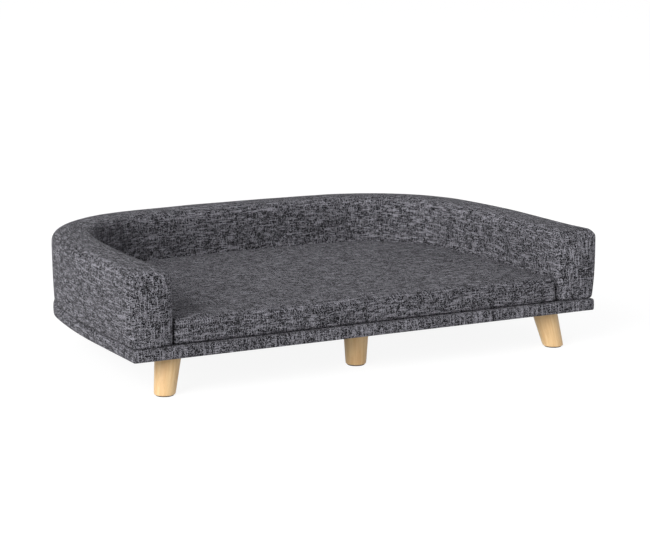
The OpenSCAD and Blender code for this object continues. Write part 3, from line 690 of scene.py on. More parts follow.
LEG_TOP_Z, GLIDE_T = 73 * MM, 2 * MM
LEG_TOP_R, LEG_FOOT_R, FOOT_ROUND = 25 * MM, 20 * MM, 2.5 * MM
LEG_EDGE = 0.4 * MM
GLIDE_R = 17 * MM
SPLAY = radians(15.5)
FRONT_LEG = (0.412, FRONT_Y + 0.050)
REAR_LEG = (0.318, -FRONT_Y - 0.111)
MIDDLE_LEG_Y = -FRONT_Y - 0.084
# Name, top of the leg, and the way it leans, or None
LEGS = (
    ("leg_front_left", -FRONT_LEG[0], FRONT_LEG[1], 225),
    ("leg_front_middle", 0.0, -MIDDLE_LEG_Y, None),
    ("leg_front_right", FRONT_LEG[0], FRONT_LEG[1], 315),
    ("leg_rear_left", -REAR_LEG[0], REAR_LEG[1], 135),
    ("leg_rear_middle", 0.0, MIDDLE_LEG_Y, None),
    ("leg_rear_right", REAR_LEG[0], REAR_LEG[1], 45),
)
ROUND = 72


def turned(name, rows, centres, stretch=(1.0, 0.0)):
    """A round piece through rows of (radius, z), each about its centre, closed at both ends.
    Stretch is how much longer its sections are along a direction than across it."""
    turn = np.linspace(0, 2 * pi, ROUND + 1)
    lean, way = stretch
    points = []
    for (radius, z), centre in zip(rows, centres):
        long, wide = radius * lean * np.cos(turn), radius * np.sin(turn)
        points.append(np.c_[centre[0] + long * cos(way) - wide * sin(way),
                            centre[1] + long * sin(way) + wide * cos(way),
                            np.full(ROUND + 1, z)])
    points = np.array(points)
    points[:, -1] = points[:, 0]
    skin = Skin()
    skin.patch(points, spread(turn * rows[1][0], points[..., 2]))
    return skin.build(name)[0]


def leg_rows():
    """Rows of a leg from its foot to its top, as (radius, z)."""
    length = LEG_TOP_Z - GLIDE_T
    rows = [(0.0, GLIDE_T)]
    rows += arc(LEG_FOOT_R - FOOT_ROUND, GLIDE_T + FOOT_ROUND, FOOT_ROUND, (-90, -67.5, -45, -22.5, 0))
    for share in np.linspace(0, 1, 15)[1:-1]:
        z = GLIDE_T + FOOT_ROUND + (length - FOOT_ROUND) * share
        rows.append((LEG_FOOT_R + (LEG_TOP_R - LEG_FOOT_R) * (z - GLIDE_T) / length, z))
    return rows + [(LEG_TOP_R, LEG_TOP_Z - LEG_EDGE), (LEG_TOP_R - LEG_EDGE, LEG_TOP_Z), (0.0, LEG_TOP_Z)]


def leg_pieces():
    rows = leg_rows()
    feet = []
    for name, x, y, lean in LEGS:
        slope = math.tan(SPLAY) if lean is not None else 0.0
        way = radians(lean or 0)
        lean_x, lean_y = slope * cos(way), slope * sin(way)
        centres = [(x + (LEG_TOP_Z - z) * lean_x, y + (LEG_TOP_Z - z) * lean_y) for _, z in rows]
        leg = turned(name + "_wood", rows, centres, (1 / cos(math.atan(slope)), way))
        points = coordinates(leg.data)
        # Grain runs along the leaning axis, and each leg is cut from another part of the plank
        height = LEG_TOP_Z - points[:, 2]
        grain = np.c_[points[:, 0] - x - height * lean_x + 0.3 * x + 0.2 * y,
                      points[:, 1] - y - height * lean_y + 0.2 * x, points[:, 2] + x]
        layer = leg.data.attributes.new("grain", "FLOAT_VECTOR", "POINT")
        layer.data.foreach_set("vector", grain.astype(np.float32).ravel())
        dressed(leg, "base", "leg_wood", LEG_WOOD, name)
        feet.append(centres[0])
    turn_rows = [(0.0, 0.0), (GLIDE_R - 0.5 * MM, 0.0), (GLIDE_R, 0.5 * MM),
                 (GLIDE_R, GLIDE_T - 0.3 * MM), (GLIDE_R - 0.3 * MM, GLIDE_T), (0.0, GLIDE_T)]
    glides = [turned("glide", turn_rows, [foot] * len(turn_rows)) for foot in feet]
    dressed(joined_pieces("leg_glide_felts", glides), "base", "felt", FELT, "leg_glides")


# rim

RIM_MIDDLE = (RIM_OUT + RIM_IN) / 2
ARM_OUT_R, ARM_IN_R, ARM_TOP_R = 4 * MM, 15 * MM, 16 * MM
# How far below the top the edges of the arms' fronts begin to grow rounder
ROUNDER_OUT, ROUNDER_IN = 13 * MM, 50 * MM
ARM_BULGE, ARM_FOOT_R = 3.2 * MM, 5 * MM
ARM_FRONT_IN, ARM_FACE_IN = 1.5 * MM, 11 * MM
ARM_SEAM, SEAM_STEP, SEAM_DEPTH = 8 * MM, 1.2 * MM, 0.7 * MM
RIM_TOP_IN_R = 19 * MM
# How much rounder the top's inner edge is at the arms' fronts, and how much tighter its outer
ARM_IN_SOFT, ARM_OUT_TIGHT = 3 * MM, 5 * MM
# How far behind the front this ends, and the length over which it fades
AHEAD_END, AHEAD_FADE = 70 * MM, 50 * MM
SWELL_OUT, SWELL_IN, RIM_CROWN = 2.9 * MM, 0.6 * MM, 1.3 * MM
RIM_FOOT_R, RIM_FOOT_IN = 4 * MM, 0.3 * MM
RIM_HEM = 14 * MM
FRONT_ROWS = 6
# How far the simulation may swell the rim: its inner faces, its top and its other faces
INNER_CAP, TOP_CAP, OUTER_CAP = 0.3 * MM, 0.5 * MM, 2.2 * MM
# How much fuller the arms' outer sides are at their fronts, and where that begins
ARM_FULLER, FULLER_FROM = 3.4 * MM, 90 * MM
RIM_RIPPLE, RIM_RIPPLE_LENGTH = 0.6 * MM, 75 * MM
RIM_CLOTH_T = 1.2 * MM
FOAM_SKIN, RIM_FOAM_Z0 = 2.2 * MM, 98.5 * MM
# The space for the wooden frame in the foam: its insets, heights and distance from the front
FRAME_OUT, FRAME_IN = 11.2 * MM, 65.8 * MM
FRAME_Z0, FRAME_Z1, FRAME_FRONT = 90 * MM, 215.6 * MM, 14.7 * MM


def rim_path(start_y):
    """Stations round the arms, the corners and the back: places on the base's edge, the way
    inward at each, and the distance along."""
    ys = np.linspace(start_y, SIDE_C[1], 18)
    places = [np.c_[np.full(len(ys), -WIDTH / 2), ys]]
    ways = [np.tile((1.0, 0.0), (len(ys), 1))]
    for centre, radius, start, end, steps in ((SIDE_C, SIDE_R, pi, SIDE_END, 24),
                                              (CORNER_C, CORNER_R, SIDE_END, BACK_END, 34),
                                              (BACK_C, BACK_R, BACK_END, pi / 2, 22)):
        places.append(sweep(centre, radius, start, end, steps))
        ways.append(-sweep((0, 0), 1, start, end, steps))
    left = [np.vstack([run[:-1] for run in runs[:-1]] + [runs[-1]]) for runs in (places, ways)]
    places, ways = [np.vstack([half, (half * (-1, 1))[-2::-1]]) for half in left]
    return places, ways, run_lengths(places + ways * RIM_MIDDLE)


def carried(places, ways, sections):
    """A grid of points: at each station of a path, the (inset, z) places of its section."""
    return np.array([[(*(place + way * u), z) for u, z in section]
                     for place, way, section in zip(places, ways, sections)])


def rim_section(skin, k, z0, ahead):
    """Section of the rim drawn in by k: (inset, z) places from the inner hem over the top.
    Ahead is 1 at the arms' fronts and 0 behind them."""
    u1, u0, top = RIM_IN - skin - k, RIM_OUT + skin + k, RIM_Z1 - skin - k
    r_in = max(RIM_TOP_IN_R + ARM_IN_SOFT * ahead - skin - k, 0.0)
    r_out = max(RIM_TOP_R - ARM_OUT_TIGHT * ahead - skin - k, 0.0)
    foot = max(min(RIM_FOOT_R, (u1 - u0) / 2), 0.0)
    middle, half = (u0 + u1) / 2, max((u1 - u0) / 2, 0.01 * MM)
    hem = max(RIM_HEM - k, foot)
    hem_in, hem_out = max(u1 - hem, middle), min(u0 + hem, middle)
    inner_foot = arc(u1 - foot, z0 + foot, foot, (-90, -45, 0))
    outer_foot = arc(u0 + foot, z0 + foot, foot, (180, 225, 270))
    rise = np.linspace(0, 1, 12)[1:-1]
    inner_wall = [(u1, z0 + foot + (top - r_in - z0 - foot) * s) for s in rise]
    outer_wall = [(u0, z0 + foot + (top - r_out - z0 - foot) * s) for s in rise[::-1]]
    inner_top = arc(u1 - r_in, top - r_in, r_in, (0, 22.5, 45, 67.5, 90))
    outer_top = arc(u0 + r_out, top - r_out, r_out, (90, 112.5, 135, 157.5, 180))
    over = [(u1 - r_in + (u0 + r_out - u1 + r_in) * s, top) for s in np.linspace(0, 1, 6)[1:-1]]
    points = np.array([(hem_in, z0)] + inner_foot + inner_wall + inner_top + over + outer_top
                      + outer_wall + outer_foot + [(hem_out, z0)])
    # The padding is fuller toward the top, and crowned on it
    share = max(0.0, 1 - k / ((RIM_IN - RIM_OUT) / 2 - skin))
    across = np.clip((points[:, 0] - middle) / half, -1, 1)
    up = np.clip((points[:, 1] - z0) / (top - z0), 0, 1)
    fuller = np.where(across < 0, RIM_FOOT_IN - (SWELL_OUT + RIM_FOOT_IN) * eased(up / 0.7),
                      SWELL_IN * eased((up - 0.3) / 0.4) ** 2)
    points[:, 0] += share * fuller * np.abs(across)
    points[:, 1] += RIM_CROWN * share * (1 - across ** 2) * np.clip(up * 8 - 7, 0, 1)
    return points


def rim_shell(name, z0, skin=0.0, seam=SEAM_DEPTH):
    """The rim's padded surface: the section carried round the plan, with closed arm fronts.
    The arms' fronts are rounded more at the top than at the sides."""
    section = rim_section(skin, 0.0, z0, 1.0)
    columns = len(section)
    climb = run_lengths(section)
    most = (RIM_IN - RIM_OUT) / 2 - skin
    inward = section[:, 0] > RIM_MIDDLE
    below_top = np.where(inward, ROUNDER_IN, ROUNDER_OUT)
    high = np.clip((section[:, 1] - (RIM_Z1 - below_top)) / (below_top - 2 * MM), 0, 1)
    side_r = np.where(inward, ARM_IN_R, ARM_OUT_R)
    end_r = side_r + (ARM_TOP_R - side_r) * smoothed(high)
    # From the middle of the arm's front outward, then round its edge
    draws = [np.full(columns, most + (ARM_FACE_IN - most) * s) for s in np.linspace(0, 1, FRONT_ROWS)]
    draws += [np.full(columns, ARM_SEAM + step) for step in (SEAM_STEP, 0, -SEAM_STEP)]
    turn = np.arcsin(np.clip(1 - draws[-1] / end_r, 0, 1))
    draws += [end_r * (1 - np.sin(turn + (pi / 2 - turn) * s)) for s in np.linspace(0, 1, 6)[1:]]
    depths = []
    for draw in draws:
        flat = np.clip((most - draw) / (most - end_r), 0, 1)
        round_in = end_r - np.sqrt(end_r ** 2 - np.clip(end_r - draw, 0, None) ** 2)
        depths.append(ARM_BULGE * flat * flat + round_in)
    seam_row = FRONT_ROWS + 1
    depths[seam_row] += seam
    # Inset, z and depth behind the front, each column drawn in by its own amount
    end = np.array([[(*rim_section(skin, drawn, z0, 1.0)[column], depth)
                     for column, (drawn, depth) in enumerate(zip(*row))]
                    for row in zip(draws, depths)])
    # The front is rounded at its foot too
    foot = np.clip(ARM_FOOT_R - (end[..., 1] - z0), 0, ARM_FOOT_R)
    end[..., 2] += ARM_FOOT_R - np.sqrt(ARM_FOOT_R ** 2 - foot ** 2)
    front = FRONT_Y + ARM_FRONT_IN + skin
    places, ways, along = rim_path(front + ARM_BULGE + ARM_TOP_R + 0.5 * MM)
    ahead = np.clip((FRONT_Y + AHEAD_END - places[:, 1]) / AHEAD_FADE, 0, 1)
    body = carried(places, ways, [rim_section(skin, 0.0, z0, share) for share in ahead])
    hems = np.zeros(columns)
    hems[:3] = hems[-3:] = 1
    skins = Skin()
    skins.patch(body, spread(along[:, None], climb), np.tile(hems, (len(body), 1)))
    for side in (-1, 1):
        block = np.stack([side * (WIDTH / 2 - end[..., 0]), front + end[..., 2], end[..., 1]], axis=2)
        face = block[:seam_row + 1]
        held = np.zeros(face.shape[:2])
        held[-1] = 1
        skins.patch(face, face[..., [2, 0]] + 3.0, held)
        bend = np.concatenate([block[seam_row:], body[:1] if side < 0 else body[-1:]])
        back = run_lengths(bend[:, columns // 2])
        back = back[-1] - back
        start = along[0] - back if side < 0 else along[-1] + back
        held = np.tile(hems, (len(bend), 1))
        held[0] = 1
        skins.patch(bend, spread(start[:, None], climb), held)
    return skins.build(name)


def rim_cover():
    z0 = BASE_Z1 + 0.1 * MM
    cover, held = rim_shell("rim_cover_cloth", z0)
    points = coordinates(cover.data)
    # The inner faces keep clear of the cushion, also while it is lifted out
    centre = np.abs(points[:, 0]) < WIDTH / 2 - RIM_MIDDLE
    inner = centre & (points[:, 1] < DEPTH / 2 - RIM_MIDDLE)
    top = points[:, 2] > RIM_Z1 - 4 * MM
    cap = np.where(inner, INNER_CAP, np.where(top, TOP_CAP, OUTER_CAP))
    # The arms grow fuller toward the front, toward their outer sides and upward
    ahead = np.clip((FRONT_Y + FULLER_FROM - points[:, 1]) / FULLER_FROM, 0, 1)
    outer = np.clip((np.abs(points[:, 0]) - (WIDTH / 2 - 42 * MM)) / (40 * MM), 0, 1)
    up = eased((points[:, 2] - z0) / (70 * MM))
    points[:, 0] += np.sign(points[:, 0]) * ARM_FULLER * ahead * outer * up
    move_points(cover.data, points)
    puffed(cover, held, cap)
    free = np.where(held > 0, 0.3, 1.0) * np.where(inner, 0.3, 1.0)
    rippled(cover, RIM_RIPPLE, RIM_RIPPLE_LENGTH, free)
    finish_with(cover, RIM_CLOTH_T, levels=1)
    dressed(cover, "base", "upholstery", CHARCOAL, "rim_cover")


def rim_foam():
    foam, _ = rim_shell("rim_foam_layer", RIM_FOAM_Z0, FOAM_SKIN, 0.0)
    closed = bmesh.new()
    closed.from_mesh(foam.data)
    bmesh.ops.contextual_create(closed, geom=[edge for edge in closed.edges if edge.is_boundary])
    bmesh.ops.recalc_face_normals(closed, faces=closed.faces)
    closed.to_mesh(foam.data)
    closed.free()
    places, ways, _ = rim_path(FRONT_Y + FRAME_FRONT)
    box = [(FRAME_OUT, FRAME_Z0), (FRAME_IN, FRAME_Z0), (FRAME_IN, FRAME_Z1), (FRAME_OUT, FRAME_Z1),
           (FRAME_OUT, FRAME_Z0)]
    walls = carried(places, ways, [box] * len(places))
    groove = Skin()
    groove.patch(walls, walls[..., :2])
    for end in (walls[0], walls[-1]):
        lid = np.array([[end[0], end[1]], [end[3], end[2]]])
        groove.patch(lid, lid[..., :2])
    cutter, _ = groove.build("frame_space", smooth=False)
    cut = foam.modifiers.new("frame_space", "BOOLEAN")
    cut.operation, cut.object, cut.solver = "DIFFERENCE", cutter, "EXACT"
    foam = baked(foam, "rim_foam_layer")
    discard(cutter)
    dressed(foam, "base", "foam", FOAM, "rim_foam")


# cushion

EDGE_LOW_R, EDGE_HIGH_R = 6 * MM, 11 * MM
SLOT_HALF = 5.2 * MM
# Rows of the cushion's section where its seams run
LOW_SEAM, HIGH_SEAM = 5, 24
CUSHION_CORNER_R, CUSHION_SEAM = 8 * MM, 0.8 * MM
# Rise of the top at its border and at its middle, and the distance over which it climbs
BORDER_RISE, CUSHION_CROWN, CROWN_REACH = 0.35 * MM, 1.2 * MM, 55 * MM
# How far the simulation may swell the front and the other sides, and how much more the top
FRONT_CAP, BOXING_CAP, TOP_MORE = 2.5 * MM, 0.4 * MM, 2.5 * MM
CUSHION_RIPPLE, CUSHION_RIPPLE_LENGTH = 0.55 * MM, 95 * MM
CUSHION_CLOTH_T = 1.0 * MM
# How much deeper the foam leaves room for the zip
FOAM_DEEPER = 3.4 * MM


def cushion_section(skin):
    """Rows of the cushion's side from its underside to its top: inset, z and share of the
    zip's recess."""
    z0, z1 = CUSHION_Z0 + skin, CUSHION_EDGE_Z - skin
    low, high = EDGE_LOW_R - skin, EDGE_HIGH_R - skin
    rows = [(20 * MM, z0, 0), (11 * MM, z0, 0)]
    rows += [(u, z, 0) for u, z in arc(low, z0 + low, low, (270, 245, 234, 225, 216, 200, 180))]
    for z, share in ((-15.5, 0), (-13, 0.45), (-11, 1), (-8, 1), (-5.2, 1), (-2.6, 1), (0, 1),
                     (2.6, 1), (5.2, 1), (8, 1), (11, 1), (13, 0.3)):
        rows.append((0.0, ZIP_Z + z * MM, share))
    rows += [(u, z, 0) for u, z in arc(high, z1 - high, high, (180, 160, 144, 135, 126, 110, 90))]
    rows.append((high + 6 * MM, z1 + BORDER_RISE, 0))
    # The upright part is drawn in most at its middle
    half = (z1 - high - z0 - low) / 2 + 3 * MM
    drawn = []
    for u, z, share in rows:
        if u == 0.0:
            u = SIDE_DRAW * max(0.0, 1 - (abs(z - ZIP_Z) / half) ** 2)
        drawn.append((u + skin, z, share))
    return drawn


def cushion_shell(name, skin, deeper, seam, slot):
    """The cushion: a wrapped-over front, a boxing strip round the sides and the back with the
    zip's slot, and crowned top and flat bottom panels."""
    section = cushion_section(skin)
    front_end, count = STEPS[0] + STEPS[1], 2 * HALF_RING
    column = np.arange(count)
    boxing = (np.minimum(column, count - column) >= front_end).astype(float)
    rings, held = [], []
    pull = seam * 0.7
    for number, (u, z, share) in enumerate(section):
        radius = max(CUSHION_CORNER_R - skin - u * 0.2, 4 * MM)
        edge = ring(CUSHION_IN + u, CUSHION_FRONT + u, radius, z, (ZIP_DRAW + deeper) * share)
        sewn = number in (LOW_SEAM, HIGH_SEAM)
        if sewn:
            pulled = ring(CUSHION_IN + u + pull, CUSHION_FRONT + u + pull, radius,
                          z + (pull if number == LOW_SEAM else -pull))
            edge = edge + (pulled - edge) * boxing[:, None]
        rings.append(edge)
        held.append(boxing * sewn)
    rings, held = np.array(rings), np.array(held)
    # Upright seams where the boxing meets the wrapped-over front
    rows = slice(5, len(section) - 4)
    for at in (front_end, count - front_end):
        rings[rows, at, 0] -= np.sign(rings[0, at, 0]) * seam * 0.8
        held[rows, at] = 1
    # The underside lies flat on the base, so it is held
    held[:4] = 1
    full, holds = wrapped(rings), wrapped(held)
    skins = Skin()
    for rows in (slice(0, LOW_SEAM + 1), slice(HIGH_SEAM, None)):
        skins.patch(full[rows], flat_weave(full[rows]), holds[rows])
    upright = slice(LOW_SEAM, HIGH_SEAM + 1)
    walls, wall_holds = full[upright], holds[upright]
    climb = run_lengths(walls[:, count // 4])[:, None]
    boxed = spread(run_lengths(walls[len(walls) // 2]), climb + 5.0)
    front = spread(walls[:, :, 0], FRONT_Y + CUSHION_FRONT - climb[-1] + climb)
    spans = [(0, front_end, front), (count - front_end, count, front)]
    if slot:
        slot_start, slot_end = HALF_RING - ZIP_STEPS, HALF_RING + ZIP_STEPS
        spans += [(front_end, slot_start, boxed), (slot_end, count - front_end, boxed)]
    else:
        spans += [(front_end, count - front_end, boxed)]
    for start, end, weave in spans:
        part = slice(start, end + 1)
        skins.patch(walls[:, part], weave[:, part], wall_holds[:, part])
    if slot:
        in_slot = [i for i, row in enumerate(section[upright])
                   if abs(row[1] - ZIP_Z) <= SLOT_HALF + 1e-6 and row[2] == 1]
        part = slice(slot_start, slot_end + 1)
        for rows, lip in ((slice(0, in_slot[0] + 1), -1), (slice(in_slot[-1], None), 0)):
            holding = wall_holds[rows, part].copy()
            holding[lip] = 1
            skins.patch(walls[rows, part], boxed[rows, part], holding)
    low_grid = filling(rings[0])
    skins.patch(low_grid, flat_weave(low_grid), np.ones(low_grid.shape[:2]))
    rise = CUSHION_CROWN - BORDER_RISE
    high_grid = filling(rings[-1], lambda gap: rise * (1 - np.exp(-gap / CROWN_REACH)))
    skins.patch(high_grid, flat_weave(high_grid))
    return skins.build(name)


def along_back(radius, z, half_angle, steps):
    """Points along an arc about the back's centre, from left to right."""
    angles = np.linspace(pi / 2 + half_angle, pi / 2 - half_angle, steps + 1)
    return np.c_[BACK_C[0] + radius * np.cos(angles), BACK_C[1] + radius * np.sin(angles),
                 np.full(steps + 1, z)]


def cushion_pieces():
    cover, held = cushion_shell("cushion_cover_cloth", 0.0, 0.0, CUSHION_SEAM, slot=True)
    points = coordinates(cover.data)
    top = np.clip((points[:, 2] - (CUSHION_EDGE_Z - 3 * MM)) / (6 * MM), 0, 1)
    front = points[:, 1] < FRONT_Y + CUSHION_FRONT + 14 * MM
    back_band = (points[:, 1] > 0.1) & (np.abs(points[:, 2] - ZIP_Z) < 12 * MM)
    cap = np.where(front, FRONT_CAP, BOXING_CAP) + TOP_MORE * top
    cap[back_band] = BOXING_CAP
    puffed(cover, held, cap)
    free = np.where(held > 0, 0.1, 0.25 + 0.75 * top)
    rippled(cover, CUSHION_RIPPLE, CUSHION_RIPPLE_LENGTH, free)
    finish_with(cover, CUSHION_CLOTH_T, levels=1)
    # The cover takes the linen copy retoned as painted light on the seat.
    dressed(cover, "cushion", "cushion_fabric", SEAT_LINEN_PAINTED_LIGHT, "cushion_cover")

    foam, _ = cushion_shell("cushion_foam_block", FOAM_SKIN, FOAM_DEEPER, 0.0, slot=False)
    dressed(foam, "cushion", "foam", FOAM, "cushion_foam")
    return cover


# zip and stitches

COIL_R, COIL_SIDE = 2477.65 * MM, 1.68 * MM
# Length, width and depth of one tooth and one stitch
TOOTH_PITCH, TOOTH = 1.3 * MM, (1.1 * MM, 3.0 * MM, 2.1 * MM)
STITCH_PITCH, STITCH = 3.4 * MM, (2.5 * MM, 0.55 * MM, 0.5 * MM)
STITCH_ROW, STITCH_LIFT, RAY_START = 7.6 * MM, 0.12 * MM, 20 * MM
# Edges of each half of the tape, from the zip's middle, and its thickness
TAPE_NEAR, TAPE_FAR, TAPE_T = 0.2 * MM, 13.5 * MM, 0.8 * MM
STOP_HALF, STOP_ROUND = (1.2 * MM, 1.1 * MM, 3.0 * MM), 0.35 * MM
SLIDER_OUT, SLIDER_IN = 2478.95 * MM - COIL_R, 2475.5 * MM - COIL_R
SLIDER_HALF, SLIDER_WIDE, PLATE_T = 7.0 * MM, 4.3 * MM, 1.2 * MM


def repeat_tree():
    """Geometry nodes: small rounded bars laid one after another along a line."""
    tree = bpy.data.node_groups.new("bars_along_a_line", "GeometryNodeTree")
    face = tree.interface
    face.new_socket("Geometry", in_out="INPUT", socket_type="NodeSocketGeometry")
    for name in ("Pitch", "Length", "Width", "Depth"):
        face.new_socket(name, in_out="INPUT", socket_type="NodeSocketFloat")
    face.new_socket("Material", in_out="INPUT", socket_type="NodeSocketMaterial")
    face.new_socket("Geometry", in_out="OUTPUT", socket_type="NodeSocketGeometry")

    def add(kind, settings=None, **links):
        node = tree.nodes.new(kind)
        for key, value in (settings or {}).items():
            setattr(node, key, value)
        for key, value in links.items():
            socket = node.inputs[key.replace("_", " ")]
            if isinstance(value, bpy.types.NodeSocket):
                tree.links.new(value, socket)
            else:
                socket.default_value = value
        return node

    given = add("NodeGroupInput").outputs
    line = add("GeometryNodeMeshToCurve", Mesh=given["Geometry"])
    spaced = add("GeometryNodeResampleCurve", {"mode": "LENGTH"}, Curve=line.outputs[0],
                 Length=given["Pitch"])
    ball = add("GeometryNodeMeshUVSphere", Segments=8, Rings=6, Radius=0.5)
    size = add("ShaderNodeCombineXYZ", X=given["Length"], Y=given["Depth"], Z=given["Width"])
    bar = add("GeometryNodeTransform", Geometry=ball.outputs[0], Scale=size.outputs[0])
    rounded = add("GeometryNodeSetShadeSmooth", Geometry=bar.outputs[0])
    heading = add("FunctionNodeAlignRotationToVector", {"axis": "X"},
                  Vector=add("GeometryNodeInputTangent").outputs[0])
    laid = add("GeometryNodeInstanceOnPoints", Points=spaced.outputs[0],
               Instance=rounded.outputs[0], Rotation=heading.outputs[0])
    real = add("GeometryNodeRealizeInstances", Geometry=laid.outputs[0])
    shown = add("GeometryNodeSetMaterial", Geometry=real.outputs[0], Material=given["Material"])
    out = tree.nodes.new("NodeGroupOutput")
    tree.links.new(shown.outputs[0], out.inputs[0])
    return tree


def bars_along(name, tree, lines, pitch, size, material):
    """Bars of one size along each of several lines of points, as one plain mesh."""
    points, edges = [], []
    for line in lines:
        start = len(points)
        points += [tuple(p) for p in line]
        edges += [(start + i, start + i + 1) for i in range(len(line) - 1)]
    mesh = bpy.data.meshes.new(name)
    mesh.from_pydata(points, edges, [])
    item = placed(name, mesh)
    bars = item.modifiers.new("bars", "NODES")
    bars.node_group = tree
    length, width, depth = size
    sizes = {"Pitch": pitch, "Length": length, "Width": width, "Depth": depth, "Material": material}
    for socket in tree.interface.items_tree:
        if socket.item_type == "SOCKET" and socket.in_out == "INPUT" and socket.name in sizes:
            bars[socket.identifier] = sizes[socket.name]
    return baked(item, name)


def on_surface(item, line):
    """A line of points laid on the item's surface, seen from outside the back's arc."""
    graph = bpy.context.evaluated_depsgraph_get()
    tree = BVHTree.FromObject(item, graph)
    laid = []
    for point in line:
        spot = Vector(point)
        way = Vector((spot.x - BACK_C[0], spot.y - BACK_C[1], 0)).normalized()
        hit = tree.ray_cast(spot + way * RAY_START, -way)
        laid.append(hit[0] + way * STITCH_LIFT if hit[0] else spot)
    return laid


def rounded_box(whole, low, high, bevel):
    """Adds a box with softened edges to a mesh that is being built."""
    low, high = Vector(low), Vector(high)
    shape = Matrix.Translation((low + high) / 2) @ Matrix.Diagonal((*(high - low), 1))
    made = bmesh.ops.create_cube(whole, size=1.0, matrix=shape)
    edges = list(dict.fromkeys(edge for corner in made["verts"] for edge in corner.link_edges))
    bmesh.ops.bevel(whole, geom=edges, offset=bevel, segments=2, profile=0.6, affect="EDGES")


def set_on_zip(built, angle):
    """Turns and moves a mesh that is being built to its place on the coil."""
    spot = Vector((BACK_C[0] + COIL_R * cos(angle), BACK_C[1] + COIL_R * sin(angle), ZIP_Z))
    built.transform(Matrix.Translation(spot) @ Matrix.Rotation(angle - pi / 2, 4, "Z"))


def tape_piece():
    # Once round the section of a half: its depth and its distance from the zip's middle
    section = ((TAPE_T / 2, TAPE_NEAR), (0, TAPE_NEAR + 0.3 * MM), (0, 4 * MM),
               (0, TAPE_FAR - 0.4 * MM), (TAPE_T / 2, TAPE_FAR), (TAPE_T, TAPE_FAR - 0.4 * MM),
               (TAPE_T, TAPE_NEAR + 0.3 * MM), (TAPE_T / 2, TAPE_NEAR))
    tape = Skin()
    for side in (-1, 1):
        rows = np.array([along_back(ZIP_R - deep, ZIP_Z + side * z, ZIP_HALF, 90)
                         for deep, z in section])
        tape.patch(rows, spread(run_lengths(rows[2]), run_lengths(rows[:, 0])[:, None]))
        for at in (0, -1):
            lid = np.array([rows[[1, 2, 3, 4], at], rows[[0, 6, 5, 4], at]])
            tape.patch(lid, lid[..., ::2])
    cloth, _ = tape.build("zip_tape_cloth", smooth=False)
    dressed(cloth, "cushion", "zip_cloth", ZIP_CLOTH, "zip_tape")


def slider_piece():
    low, high = (Vector(corner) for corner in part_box("zip_slider"))
    middle = (low + high) / 2
    top = SLIDER_OUT + PLATE_T
    slider = bmesh.new()
    # Two plates, the post between them, the upper plate's flanges and three ribs on it
    rounded_box(slider, (-SLIDER_HALF, SLIDER_OUT, -SLIDER_WIDE), (SLIDER_HALF, top, SLIDER_WIDE), 0.5 * MM)
    rounded_box(slider, (-SLIDER_HALF, SLIDER_IN - PLATE_T, -SLIDER_WIDE),
                (SLIDER_HALF, SLIDER_IN, SLIDER_WIDE), 0.4 * MM)
    rounded_box(slider, (-SLIDER_HALF, SLIDER_IN - PLATE_T / 2, -0.12 * MM),
                (-3 * MM, SLIDER_OUT + PLATE_T / 2, 0.12 * MM), 0.04 * MM)
    for side in (-1, 1):
        z0, z1 = sorted((side * SLIDER_WIDE, side * (SLIDER_WIDE - 1.0 * MM)))
        rounded_box(slider, (-SLIDER_HALF, SLIDER_OUT - 1.9 * MM, z0),
                    (SLIDER_HALF, SLIDER_OUT + PLATE_T * 0.8, z1), 0.3 * MM)
    for x in (-3.2 * MM, 0.0, 3.2 * MM):
        rounded_box(slider, (x - 0.5 * MM, SLIDER_OUT + PLATE_T * 0.6, -2.4 * MM),
                    (x + 0.5 * MM, top + 0.25 * MM, 2.4 * MM), 0.2 * MM)
    set_on_zip(slider, math.atan2(middle.y - BACK_C[1], middle.x))
    dressed(mesh_piece("zip_slider_body", slider), "zip_slider", "zip_metal", GUNMETAL, "zip_slider")


def zip_pieces(cover):
    tree = repeat_tree()
    half = ZIP_HALF - 2.5 * MM / ZIP_R
    lines = [along_back(COIL_R, ZIP_Z + side * COIL_SIDE, half, 160) for side in (-1, 1)]
    teeth = bars_along("zip_teeth", tree, lines, TOOTH_PITCH, TOOTH, NYLON)
    dressed(teeth, "cushion", "zip_nylon", NYLON, "zip_coil")

    tape_piece()

    recess = BACK_R - CUSHION_IN - SIDE_DRAW - ZIP_DRAW
    lines = [on_surface(cover, along_back(recess, ZIP_Z + side * STITCH_ROW, ZIP_HALF, 120))
             for side in (-1, 1)]
    stitches = bars_along("zip_stitches", tree, lines, STITCH_PITCH, STITCH, THREAD)
    dressed(stitches, "cushion", "cushion_fabric", THREAD)

    clips = []
    for side in (-1, 1):
        clip = bmesh.new()
        rounded_box(clip, [-size for size in STOP_HALF], STOP_HALF, STOP_ROUND)
        set_on_zip(clip, pi / 2 + side * (ZIP_HALF - 1.3 * MM / ZIP_R))
        clips.append(mesh_piece("stop", clip))
    dressed(joined_pieces("zip_stop_clips", clips), "cushion", "zip_metal", GUNMETAL, "zip_stops")

    slider_piece()


# studio

# The photograph's camera, from the fit to its outlines: 28 degrees to the left and 11 above
CAMERA_PLACE = (-1.99199, -3.85796, 0.98018)
CAMERA_WAY = (0.462185, 0.865786, -0.191834)
CAMERA_LENS, CAMERA_SENSOR = 120.78, 36


def aimed(stand, toward):
    """Turns a lamp or the camera to face a direction."""
    stand.rotation_mode = "QUATERNION"
    stand.rotation_quaternion = toward.to_track_quat("-Z", "Y")


def camera():
    eye = bpy.data.cameras.new("camera")
    eye.sensor_width = CAMERA_SENSOR
    eye.lens = CAMERA_LENS
    eye.clip_start, eye.clip_end = 0.1, 100
    stand = placed("camera", eye)
    stand.location = CAMERA_PLACE
    aimed(stand, Vector(CAMERA_WAY))
    bpy.context.scene.camera = stand


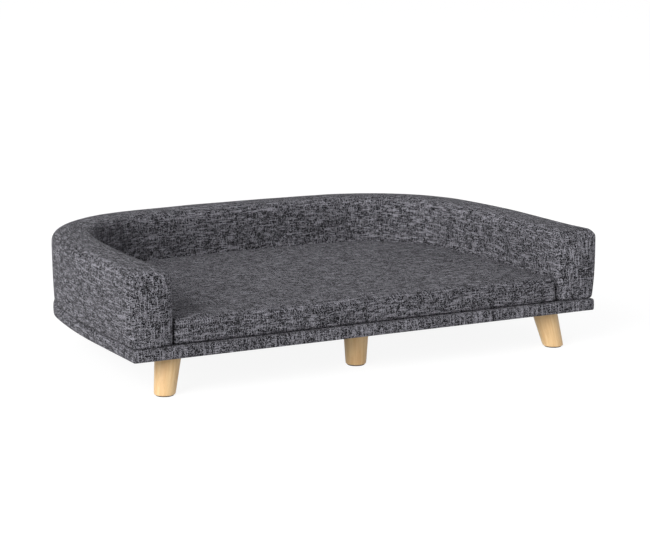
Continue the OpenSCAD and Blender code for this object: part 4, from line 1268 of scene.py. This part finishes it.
def soft_box(name, toward, distance, size, watts):
    """A square soft lamp that faces the middle of the bed."""
    lamp = bpy.data.lights.new(name, "AREA")
    lamp.shape = "SQUARE"
    lamp.size = size
    lamp.energy = watts
    way = Vector(toward).normalized()
    stand = placed(name, lamp)
    stand.location = way * distance + Vector((0, 0, 0.1))
    aimed(stand, -way)


def seen_directly(finish):
    """1 for rays that show the backdrop itself: the camera's, and those in gloss and glass."""
    path = [finish.node("LightPath", out=name) for name in
            ("Is Camera Ray", "Is Glossy Ray", "Is Transmission Ray")]
    return path[0].most(path[1]).most(path[2])


def studio():
    bpy.context.scene.view_settings.view_transform = "Standard"
    world = bpy.data.worlds.new("studio")
    bpy.context.scene.world = world
    world.use_nodes = True
    f = Finish("studio", world.node_tree)
    shown = seen_directly(f)
    light = f.node("Background", values={"Color": (0.97, 0.98, 1.0), "Strength": 0.40})
    backdrop = f.node("Background", values={"Color": (1.0, 1.0, 1.0), "Strength": 1.0})
    f.node_output(f.node("MixShader", values={0: shown, 1: light, 2: backdrop}), "OutputWorld")

    mesh = bpy.data.meshes.new("floor")
    reach = 20.0
    mesh.from_pydata([(-reach, -reach, 0), (reach, -reach, 0), (reach, reach, 0), (-reach, reach, 0)],
                     [], [(0, 1, 2, 3)])
    floor = placed("floor", mesh)
    f = Finish("pale_floor")
    grey = f.noise(f.place(), 3, 2)
    matt = f.node("BsdfDiffuse", values={"Color": f.mix(grey, (0.84, 0.84, 0.84), (0.88, 0.88, 0.88))})
    white = f.node("Emission", values={"Color": (1.0, 1.0, 1.0), "Strength": 1.14})
    f.node_output(f.node("MixShader", values={0: seen_directly(f) * 0.8, 1: matt, 2: white}))
    mesh.materials.append(f.material)

    soft_box("key", (-0.78, -0.42, 0.46), 18.0, 11.0, 2780)


# CAD pieces that stay

CAD_FINISHES = {
    "base_board": PLYWOOD, "rim_bottom_rail": PLYWOOD, "rim_top_rail": PLYWOOD,
    "rim_uprights": PINE, "rim_outer_facing": HARDBOARD, "rim_inner_facing": HARDBOARD,
    "cover_staples": ZINC, "dust_cover_staples": ZINC, "rim_cover_staples": ZINC,
    "tee_nuts": ZINC, "leg_studs": ZINC, "rim_screws": ZINC, "rail_screws": ZINC,
}

camera()
base_pieces()
leg_pieces()
rim_cover()
rim_foam()
zip_pieces(cushion_pieces())
for node, finish in CAD_FINISHES.items():
    coated(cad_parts[node].data, finish)
studio()
